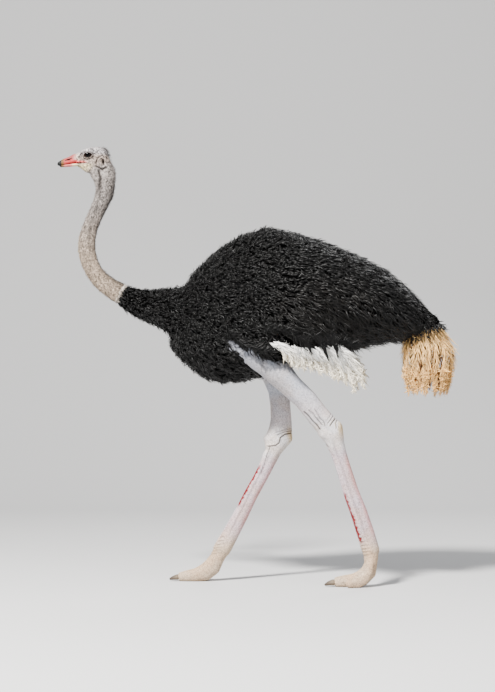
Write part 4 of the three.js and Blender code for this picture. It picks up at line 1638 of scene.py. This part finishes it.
def wing_plume_shafts(side, sign):
    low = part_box(f"wing_plumes_{side}")[0]
    table = np.array(PLUME_STOPS)
    rng = random.Random(f"plumes {side}")
    shafts = []
    for row in range(PLUME_ROWS):
        for i in range(PLUMES_PER_ROW):
            t = ((i + 0.5 * row) / (PLUMES_PER_ROW - 0.5)) ** 0.85
            rx, rz, tx, tz = (np.interp(t, table[:, 0], table[:, k]) for k in range(1, 5))
            outer = sign * PLUME_OUT + sign * 0.014 * ramp(t, 0.35, 0.10)
            root_height = low[2] + rz + rng.uniform(-0.010, 0.008)
            root = np.array([low[0] + rx, outer - sign * 0.010 * row, root_height])
            reach = 1 - 0.12 * row + rng.uniform(-0.06, 0.06)
            inwards = sign * (0.016 + 0.050 * t + 0.012 * row)
            tip = root + (np.array([low[0] + tx, outer - inwards, low[2] + tz]) - root) * reach
            sag = root + (tip - root) * 0.55 + np.array(PLUME_SAG)
            shafts.append(([root, sag, tip], (0.6, 0.0, 0.8), (WHITE, CREAM), (0.9, 0.36)))
    return shafts


for seed, (side, sign) in enumerate(SIDES.items()):
    shafts = wing_plume_shafts(side, sign)
    own = ("white_plumage", f"wing_plumes_{side}")
    inputs = {"Kit": WHITE_BARBS, "Step": 0.0021, "Seed": 31 + seed, "Fan": 0.5, "Finish": WHITE_FEATHER}
    grow(f"white_plumes_{side}", shafts, (0.2 + 0.3 * seed, 1.1), *own, **inputs)
    inputs = {"Kit": END_CURLS, "Step": 0.0022, "Seed": 35 + seed, "Fan": 1.2, "Finish": WHITE_FEATHER}
    grow(f"white_curls_{side}", shafts, (0.2 + 0.3 * seed, 1.3), *own, skipped=9, Size=1.5, **inputs)

# %% [markdown]
# The tail is a bunch of tan plumes that hang from the rump, soft at their ends. Three rings of shafts,
# one in another, fill it: the inner ones are shorter and painted darker, as painted shade that makes the
# gaps look deep and not empty.

# %% The tail
TAN = srgb(252, 207, 134)
TAN_TIP = srgb(248, 191, 113)
TAN_PAINTED_SHADE = srgb(150, 104, 64)
TAIL_RINGS = [(1.0, 30), (0.72, 14), (0.35, 5)]
CURLED_SHAFTS = TAIL_RINGS[0][1] + TAIL_RINGS[1][1]
SWAY = 0.008
# Painted shade darkens the tan barbs' roots to 0.7.
TAN_FEATHER = feather_finish("tan_feather", 0.75, 0.70, 1.12, None, 50, 0.70, 0.7)
TAIL_LOW, TAIL_HIGH = (np.array(corner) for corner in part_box("tail_plumes"))
TAIL_MIDDLE, TAIL_HALF = (TAIL_LOW + TAIL_HIGH) / 2, (TAIL_HIGH - TAIL_LOW) / 2


def tail_shafts():
    rng = random.Random("tail")
    shafts = []
    for reach, count in TAIL_RINGS:
        for i in range(count):
            angle = 2 * math.pi * (i + (i % 2 - 0.5) * 0.2 + rng.uniform(-0.12, 0.12)) / count
            x, y = TAIL_HALF[0] * math.cos(angle) * reach, TAIL_HALF[1] * math.sin(angle) * reach
            drop = rng.uniform(0, 0.02) + 0.07 * (1 - reach)
            sway = [rng.uniform(-SWAY, SWAY) for _ in range(6)]
            end = TAIL_LOW[2] + 0.010 + drop
            stops = [
                (TAIL_MIDDLE[0] - 0.020 + 0.55 * x, 0.5 * y, TAIL_HIGH[2] + 0.030),
                (TAIL_MIDDLE[0] + 0.94 * x + sway[0], 0.86 * y + sway[1], TAIL_MIDDLE[2] + 0.060),
                (TAIL_MIDDLE[0] + 0.98 * x + sway[2], 0.94 * y + sway[3], TAIL_MIDDLE[2] - 0.030),
                (TAIL_MIDDLE[0] + 0.002 + 0.78 * x + sway[4], 0.80 * y + sway[5], end),
            ]
            outward = unit(np.array([[math.sin(angle), -math.cos(angle), 0.0]]))[0]
            # The inner rings take painted shade, so that the tail looks deep.
            colors = (TAN, TAN_TIP) if reach > 0.8 else (TAN_PAINTED_SHADE, TAN_PAINTED_SHADE)
            shafts.append((stops, tuple(outward), colors, (0.9, 0.30)))
    return shafts


shafts = tail_shafts()
own = ("tan_plumage", "tail_plumes")
inputs = {"Kit": TAIL_BARBS, "Step": 0.0031, "Seed": 41, "Fan": 0.7, "Finish": TAN_FEATHER}
grow("tail", shafts, (0.95, 1.1), *own, **inputs)
inputs = {"Kit": END_CURLS, "Step": 0.0018, "Seed": 43, "Fan": 1.2, "Finish": TAN_FEATHER}
grow("tail_curls", shafts[:CURLED_SHAFTS], (0.95, 1.4), *own, skipped=8, Size=1.5, **inputs)

# %% [markdown]
# ## Black fringes
# The wing's lower edge hangs over the thigh in a soft fringe, a few long black locks fall over the white
# plumes, and the feathers of the rump hide the root of the tail. Tufts on the skin can't reach so far
# out, so these are shafts too, laid along the edges, with their barbs hanging down.

# %% Lines of the fringes
WING_FRINGE = [(-0.104, 1.010), (-0.066, 0.972), (-0.020, 0.944), (0.024, 0.930), (0.050, 0.932)]
WING_FRINGE += [(0.064, 0.944)]
PLUME_FRINGE = [(0.040, 1.012), (0.090, 1.012), (0.136, 1.006), (0.166, 0.980), (0.196, 0.958)]
PLUME_FRINGE += [(0.216, 0.986), (0.250, 0.976), (0.282, 0.952), (0.306, 0.992), (0.324, 0.960)]
PLUME_FRINGE += [(0.352, 0.964), (0.400, 0.944)]
FRINGES = [
    # the line, how far out and how much nearer each row is, its shift and rise, where the line draws in and
    # by how much, which way the barbs lean, and their length at both ends
    (WING_FRINGE, 0.266, 0.012, 0.006, 0.012, (-0.02, -0.09), 0.022, 0.25, (0.55, 1.0)),
    (PLUME_FRINGE, PLUME_OUT + 0.014, 0.006, -0.004, 0.008, (0.24, 0.40), 0.045, 0.5, (0.70, 0.62)),
]
FRINGE_ROWS = 4


def fringe_shafts(sign):
    shafts = []
    for line, outer, nearer, shift, rise, drawn, inwards, lean, longs in FRINGES:
        for row in range(FRINGE_ROWS):
            out = outer - nearer * row
            stops = []
            for x, z in line:
                stops.append((x + shift * row, sign * (out - inwards * ramp(x, *drawn)), z + rise * row))
            shafts.append((stops, (lean, sign * 0.2, -1.0), (BLACK, BLACK), longs))
    return shafts


# %% Lines of the locks and of the tail's cover
LOCKS = [(0.168, 0.995, 0.217, 0.924), (0.226, 0.998, 0.283, 0.900), (0.282, 0.996, 0.320, 0.912)]
LOCK_SHIFTS = (-0.018, -0.012, -0.006, 0.0, 0.006, 0.012, 0.018)
LOCK_BULGE = 0.006
COVER_SHAFTS = 26


def lock_shafts(sign):
    """A few shafts beside each other at the root of each lock, which meet at its tip."""
    shafts = []
    for x0, z0, x1, z1 in LOCKS:
        out = sign * (PLUME_OUT + 0.016)
        bulge = ((x0 + x1) / 2 + LOCK_BULGE, out, (z0 + z1) / 2 + LOCK_BULGE)
        upper, tip = [(x0, out, z0), bulge], (x1, out - sign * 0.010, z1)
        for shift in LOCK_SHIFTS:
            moved = [(x + shift * (1 - 0.45 * k), y, z) for k, (x, y, z) in enumerate(upper)]
            shafts.append(([*moved, tip], (0.7, 0.0, 0.7), (BLACK, BLACK), (0.60, 0.35)))
    return shafts


def tail_cover_shafts():
    shafts = []
    for i in range(COVER_SHAFTS):
        angle = 2 * math.pi * i / COVER_SHAFTS
        x = TAIL_HALF[0] * math.cos(angle) * (1 - 0.22 * (math.cos(angle) > 0))
        y = TAIL_HALF[1] * math.sin(angle)
        stops = [
            (TAIL_MIDDLE[0] - 0.035 + 0.45 * x, 0.55 * y, TAIL_HIGH[2] + 0.060),
            (TAIL_MIDDLE[0] - 0.010 + 0.80 * x, 0.86 * y, TAIL_HIGH[2] + 0.012),
            (TAIL_MIDDLE[0] - 0.004 + 0.90 * x, 0.96 * y, TAIL_HIGH[2] - 0.028 + 0.034 * math.cos(angle)),
        ]
        shafts.append((stops, (math.sin(angle), -math.cos(angle), 0.0), (BLACK, BLACK), (0.7, 0.5)))
    return shafts


# %% Grow the fringes
for seed, (side, sign) in enumerate(SIDES.items()):
    inputs = {"Kit": BLACK_BARBS, "Step": 0.0022, "Seed": 51 + seed, "Fan": 0.7, "Finish": BLACK_FEATHER}
    grow(f"fringe_{side}", fringe_shafts(sign), (0.2 + 0.3 * seed, 1.5), "black_plumage", steps=40, **inputs)
    inputs = {"Kit": LOCK_BARBS, "Step": 0.0036, "Seed": 57 + seed, "Fan": 1.5, "Finish": BLACK_FEATHER}
    grow(f"locks_{side}", lock_shafts(sign), (0.2 + 0.3 * seed, 1.7), "black_plumage", **inputs)
inputs = {"Kit": BLACK_BARBS, "Step": 0.0028, "Seed": 55, "Fan": 1.4, "Finish": BLACK_FEATHER}
grow("tail_cover", tail_cover_shafts(), (0.2, 1.8), "black_plumage", **inputs)

# %% [markdown]
# ## Bill
# The bill is horn: broad, flat and blunt, with a nail at its tip and a slit of a nostril. The skin's own
# faces are too coarse for it, so each half is cast again with finer ones and pushed into shape as the
# face was. Its root runs a little way back inside the skin of the head, so that no gap shows.

# %% Shape the bill
BILL_ROOT = 0.012
ROOT_NARROWING = 0.90
ROOT_FLATTENING = 0.10
NOSTRIL_DEPTH = 0.0018
NOSTRIL_RIM = 0.0010
NAIL_DROP = 0.0035
MIDDLE_RIDGE = 0.0016


def root_inside(mesh, root):
    """Draws the back of a bill half out behind its root, a little narrower, to sit inside the skin."""
    points, normals = get_coords(mesh), get_normals(mesh)
    back = (normals[:, 0] > 0.55) & (points[:, 0] > root - 0.022)
    points[back, 0] = root + BILL_ROOT
    points[back, 1] *= ROOT_NARROWING
    points[back, 2] += (points[back, 2].mean() - points[back, 2]) * ROOT_FLATTENING
    return points


def model_bill(mesh, half):
    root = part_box(half)[1][0]
    points = root_inside(mesh, root)
    forward, above, out = from_eye(points)
    nostril = to_line(forward, above, NOSTRIL_LINE)
    push = -NOSTRIL_DEPTH * ridge(nostril, 0.0014) * ramp(out, 0.004, 0.008)
    push += 0.0003 * ramp(forward, 0.104, 0.107) - 0.0004 * ridge(forward - 0.1035, 0.0014)
    push += NOSTRIL_RIM * ridge(nostril - 0.0035, 0.0018) * ramp(above, -0.020, -0.014)
    push -= 0.0009 * ramp(points[:, 0], root - 0.016, root - 0.001)
    points += get_normals(mesh) * push[:, None]
    if half == "bill_upper":
        points[:, 2] -= NAIL_DROP * ramp(forward, 0.098, 0.122) * ramp(above, -0.045, -0.025)
        middle_line = ridge(points[:, 1], 0.0060) * ramp(get_normals(mesh)[:, 2], 0.3, 0.8)
        points[:, 2] += MIDDLE_RIDGE * middle_line * ramp(forward, 0.115, 0.095)
    set_coords(mesh, points)
    put_tint(mesh, paint_bill(points))


# %% Cast the bill
BILL_VOXEL = 0.0012
BILL_SMOOTHING = 16
HORN_BUMP = 0.0006


def horn_finish(name, roughness, streak, coat):
    material, tree, shader = new_material(name, roughness, Coat_Weight=coat, Specular_IOR_Level=0.2)
    streaks = graded(tree, noise(tree, 260, 4.0, streak), (0.3, 0.84), (0.7, 1.08))
    mottle = graded(tree, noise(tree, 60), (0.3, 0.86), (0.7, 1.06))
    tree.links.new(multiply(tree, painted(tree, "tint"), streaks, mottle), shader.inputs["Base Color"])
    bump(tree, shader, noise(tree, 260, 4.0, streak), HORN_BUMP, 0.5)
    return material


BILL_HORN = horn_finish("bill_horn", 0.50, (0.35, 1, 1), 0.02)
for half in BILL:
    piece = cast(f"horn_{half}", [half], BILL_VOXEL, BILL_SMOOTHING)
    model_bill(piece.data, half)
    piece.data.materials.append(BILL_HORN)
    finish_piece(piece, "bill", half)

# %% [markdown]
# ## Claws
# Only the big inner toe carries a claw. It is a blunt cone of dull horn, worn dark at its tip, and the
# CAD solid already has its shape, so it is cast with fine faces and painted from root to tip.

# %% Claws
CLAW = srgb(112, 98, 82)
CLAW_TIP = srgb(70, 60, 52)
CLAW_SMOOTHING = 4

CLAW_HORN = horn_finish("claw_horn", 0.65, (1, 1, 1), 0.0)
for side in SIDES:
    piece = cast(f"horn_claw_{side}", [f"claw_{side}"], BILL_VOXEL, CLAW_SMOOTHING)
    low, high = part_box(f"claw_{side}")
    share = ramp(get_coords(piece.data)[:, 0], high[0] - 0.005, low[0] + 0.004)
    put_tint(piece.data, paint(CLAW, (CLAW_TIP, share)))
    piece.data.materials.append(CLAW_HORN)
    finish_piece(piece, "claw", f"claw_{side}")

# %% [markdown]
# ## Eyes
# An ostrich has the largest eye of any land animal: nearly all that shows is a dark brown iris and a wide
# pupil. A ball with a picture on it would lose its roundness close up. Here the rings are painted on the
# ball's own faces, and its clear front bulges a little out of it, which gives the glint its place.

# %% Eyeballs
IRIS = srgb(22, 12, 7)
PUPIL = srgb(2, 2, 2)
EYE_WHITE = srgb(120, 100, 90)
FRONT_BULGE = 0.0010


def eyeball(name, node):
    center = middle(node)
    sign = math.copysign(1, center[1])
    shape = bmesh.new()
    bmesh.ops.create_uvsphere(shape, u_segments=40, v_segments=28, radius=EYE_RADIUS)
    mesh = bpy.data.meshes.new(name)
    shape.to_mesh(mesh)
    shape.free()
    points = get_coords(mesh)[:, [0, 2, 1]] * (1, sign, -sign)
    off_axis = np.hypot(points[:, 0], points[:, 2])
    facing = points[:, 1] * sign > 0
    points[:, 1] += sign * FRONT_BULGE * ramp(off_axis, 0.0125, 0.006) * facing
    iris, pupil = ramp(off_axis, 0.0150, 0.0138) * facing, ramp(off_axis, 0.0098, 0.0086) * facing
    set_coords(mesh, points + center)
    put_tint(mesh, paint(EYE_WHITE, (IRIS, iris), (PUPIL, pupil)))
    mesh.shade_smooth()
    return new_object(name, mesh)


def eye_finish():
    material, tree, shader = new_material("wet_eye", 0.10, Specular_IOR_Level=0.07)
    rays = graded(tree, noise(tree, 900, 2.0), (0.3, 0.75), (0.7, 1.25))
    tree.links.new(multiply(tree, painted(tree, "tint"), rays), shader.inputs["Base Color"])
    return material


WET_EYE = eye_finish()
for side in SIDES:
    piece = eyeball(f"eyeball_{side}", f"eye_{side}")
    piece.data.materials.append(WET_EYE)
    finish_piece(piece, "eye", f"eye_{side}")

# %% [markdown]
# ## Bristles and lashes
# Stiff dark bristles stand on the crown, thickest at the back of it, and the lids carry long lashes.
# Painted ones would vanish against the sky, and these break the head's outline, so each is a thin sliver
# of its own.

# %% Bristles
BRISTLE = srgb(48, 42, 40)
BRISTLES = 560
BRISTLE_WIDTH = 0.0011
BRISTLE_DROOP = 0.5
BRISTLE_PIECES = 3
CREST = (-0.080, 0.014)
CREST_WIDTH = 0.026


def bristle_path(root, way, length, droop):
    path, point, way = [np.array(root)], np.array(root), np.array(way, float)
    for _ in range(BRISTLE_PIECES):
        way = way + (0, 0, -droop / BRISTLE_PIECES)
        way = way / np.linalg.norm(way)
        point = point + way * length / BRISTLE_PIECES
        path.append(point)
    return path


def grow_bristles(mesh):
    rng = random.Random("bristles")
    points, normals = get_coords(mesh), get_normals(mesh)
    forward, above, _ = from_eye(points)
    crest = ridge(np.hypot(forward - CREST[0], above - CREST[1]), CREST_WIDTH)
    crown = ramp(above, 0.010, 0.026) * ramp(forward, 0.01, -0.04) + 3 * crest
    crown = crown * on_head(points) * ramp(get_values(mesh, "black"), 0.3, 0.1)
    slivers = Slivers()
    for i in rng.choices(range(len(points)), weights=crown, k=BRISTLES):
        back = np.array([rng.uniform(0.5, 1.0), rng.uniform(-0.25, 0.25), rng.uniform(-0.2, 0.3)])
        way = normals[i] * rng.uniform(0.4, 0.9) + back
        root = points[i] - normals[i] * 0.001
        slivers.add(bristle_path(root, way, rng.uniform(0.008, 0.018), BRISTLE_DROOP), BRISTLE_WIDTH)
    return slivers.mesh("bristles")


# %% Lashes
LASHES = 20
LASH_WIDTH = 0.00055
LASH_DROOP = 0.9
LASH_ROOT = 0.0006


def grow_lashes():
    rng = random.Random("lashes")
    slivers = Slivers()
    for sign in SIDES.values():
        for i in range(LASHES):
            angle = math.pi * (0.08 + 0.84 * (i + rng.uniform(-0.3, 0.3)) / (LASHES - 1))
            forward, above = OPENING_HALF_LENGTH * math.cos(angle), OPENING_UPPER * math.sin(angle) ** 0.8
            out = EYE_OUT + math.sqrt((EYE_RADIUS + LID_THICKNESS) ** 2 - forward**2 - above**2) - LASH_ROOT
            way = (-math.cos(angle) * 0.7 - 0.15, sign * 1.0, 0.55)
            root = (EYE[0] - forward, sign * out, EYE[2] + above)
            slivers.add(bristle_path(root, way, rng.uniform(0.007, 0.011), LASH_DROOP), LASH_WIDTH)
    return slivers.mesh("lashes")


def bristle_finish():
    material, tree, shader = new_material("bristle", 0.5)
    shade = graded(tree, painted(tree, "along"), (0.0, BRISTLE * 0.5), (1.0, BRISTLE * 1.3))
    uneven = graded(tree, noise(tree, 300), (0.3, 0.7), (0.7, 1.2))
    tree.links.new(multiply(tree, shade, uneven), shader.inputs["Base Color"])
    return material


BRISTLE_FINISH = bristle_finish()
for mesh in (grow_bristles(skin.data), grow_lashes()):
    mesh.materials.append(BRISTLE_FINISH)
    finish_piece(new_object(mesh.name, mesh), "neck_down")

# %% [markdown]
# ## Scutes
# Broad overlapping plates run down the front of each tarsus and along the top of each toe. A cock's shin
# plates redden in the breeding season, in a strip here and there. Bump would leave the shin's outline
# smooth, so one plate is modelled, and a third tree sets it again and again along lines that are cast on
# the skin.

# %% One plate
PLATE_LENGTH = 0.0135
PLATE_WIDTH = 0.021
PLATE_THICKNESS = 0.0010
PLATE_BEND = 0.016
PLATE_LIFT = 0.0009
PLATE_ROWS = 2
PLATE_COLUMNS = 6


def plate_points():
    """Points of a plate, bent across, whose lower edge stands up a little over the next plate."""
    points = []
    for layer in (0, 1):
        for r in range(PLATE_ROWS + 1):
            for c in range(PLATE_COLUMNS + 1):
                x, y = r / PLATE_ROWS - 0.35, c / PLATE_COLUMNS - 0.5
                width = PLATE_WIDTH * (1 - 0.16 * abs(r / PLATE_ROWS - 0.5) * 2)
                rise = PLATE_LIFT * r / PLATE_ROWS
                z = -((y * width) ** 2) / (2 * PLATE_BEND) + rise - PLATE_THICKNESS * layer
                points.append((x * PLATE_LENGTH - 0.002 * (2 * y) ** 2, y * width, z))
    return points


def plate_faces():
    """Its upper and lower faces, and a rim that closes it."""
    wide, layer = PLATE_COLUMNS + 1, (PLATE_ROWS + 1) * (PLATE_COLUMNS + 1)
    faces = []
    for r in range(PLATE_ROWS):
        for c in range(PLATE_COLUMNS):
            a = r * wide + c
            faces.append((a, a + wide, a + wide + 1, a + 1))
            faces.append((layer + a, layer + a + 1, layer + a + wide + 1, layer + a + wide))
    rim = list(range(wide)) + [r * wide + PLATE_COLUMNS for r in range(1, PLATE_ROWS + 1)]
    rim += [PLATE_ROWS * wide + c for c in range(PLATE_COLUMNS - 1, -1, -1)]
    rim += [r * wide for r in range(PLATE_ROWS - 1, 0, -1)]
    return faces + [(a, b, layer + b, layer + a) for a, b in zip(rim, rim[1:] + rim[:1])]


def plate_mesh():
    mesh = new_mesh("plate", plate_points(), [], plate_faces())
    shape = bmesh.new()
    shape.from_mesh(mesh)
    bmesh.ops.recalc_face_normals(shape, faces=shape.faces)
    shape.to_mesh(mesh)
    shape.free()
    mesh.shade_smooth()
    return mesh


PLATES = bpy.data.collections.new("plates")
PLATES.objects.link(bpy.data.objects.new("plate", plate_mesh()))

# %% The tree that lays plates along a line


def build_scute_tree():
    tree, given = new_tree("scutes", ("Step", "Float", 0.0105))
    _, along = along_lines(tree, given)
    lying = stand(tree, along["Tangent"], stored(tree, "side", "FLOAT_VECTOR"), "XZ")
    return end_tree(tree, given, set_out(tree, given, along["Points"], lying, (0.93, 1.07), 2, 3))


scute_tree = build_scute_tree()

# %% Lines down the shins and toes
LINE_STEPS = 40
OVER_SKIN = 0.0004
SHIN_STARTS = 12
TOE_STARTS = 9
NEVER_RED = (9, 10)


def cast_on(tree, starts, way):
    """Where rays from the starts meet the surface, and the surface's normals there."""
    found = [tree.ray_cast(Vector(start), Vector(way)) for start in starts]
    found = [(np.array(place), np.array(normal)) for place, normal, _, _ in found if place is not None]
    return [place for place, _ in found], [normal for _, normal in found]


def shin_starts(side):
    hock, foot = middle(f"hock_{side}"), middle(f"foot_{side}")
    heights = np.linspace(hock[2] - 0.085, foot[2] - 0.010, SHIN_STARTS)
    return [(-1.0, np.interp(z, [foot[2], hock[2]], [foot[1], hock[1]]), z) for z in heights]


def toe_starts(toe, tip_x, root_x):
    low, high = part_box(toe)
    return [(x, (low[1] + high[1]) / 2, high[2] + 0.01) for x in np.linspace(root_x, tip_x, TOE_STARTS)]


def plate_line(places, normals, wide, red):
    """A smoothed line just over the skin, with the way out of it, the plates' size and their colour."""
    line = smooth_line(places, LINE_STEPS)
    outs = unit(smooth_line(normals, LINE_STEPS))
    redness = ramp(line[:, 2], red[0], red[0] + 0.03) * ramp(line[:, 2], red[1], red[1] - 0.03)
    colors = paint(TARSUS, (DUSTY, ramp(line[:, 2], 0.24, 0.12)), (SHIN_RED, redness * 0.9))
    return line + outs * OVER_SKIN, outs, np.interp(np.linspace(0, 1, LINE_STEPS), [0, 1], wide), colors


# %% Lay the plates


def lay_plates(name, side, skin_tree):
    inner_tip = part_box(f"toe_inner_{side}")[0][0] + 0.012
    inner_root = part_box(f"foot_{side}")[0][0] - 0.018
    outer_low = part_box(f"toe_outer_{side}")[0][0]
    shin = cast_on(skin_tree, shin_starts(side), (1, 0, 0))
    inner = cast_on(skin_tree, toe_starts(f"toe_inner_{side}", inner_tip, inner_root), (0, 0, -1))
    outer_starts = toe_starts(f"toe_outer_{side}", outer_low + 0.014, outer_low + 0.070)
    outer = cast_on(skin_tree, outer_starts, (0, 0, -1))
    lines = [
        plate_line(*shin, (0.95, 1.05), RED_SHINS[side]),
        plate_line(*inner, (1.05, 0.85), NEVER_RED),
        plate_line(*outer, (0.8, 0.7), NEVER_RED),
    ]
    mesh = lines_mesh(name, [line[0] for line in lines])
    put_values(mesh, "side", np.vstack([line[1] for line in lines]))
    put_values(mesh, "long", np.hstack([line[2] for line in lines]))
    put_tint(mesh, np.vstack([line[3] for line in lines]))
    return new_object(name, mesh)


corners = [v.co for v in skin.data.vertices]
skin_tree = BVHTree.FromPolygons(corners, [tuple(face.vertices) for face in skin.data.polygons])
SCUTE_HORN = horn_finish("scute_horn", 0.55, (1, 1, 1), 0.0)
for side in SIDES:
    piece = lay_plates(f"scutes_{side}", side, skin_tree)
    run_tree(piece, scute_tree, {"Kit": PLATES, "Finish": SCUTE_HORN})
    finish_piece(piece, "bare_skin")

# %% [markdown]
# ## Finish
# The skin stands for all the CAD flesh at once.

# %% Finish
finish_piece(skin, "black_plumage", *FLESH)
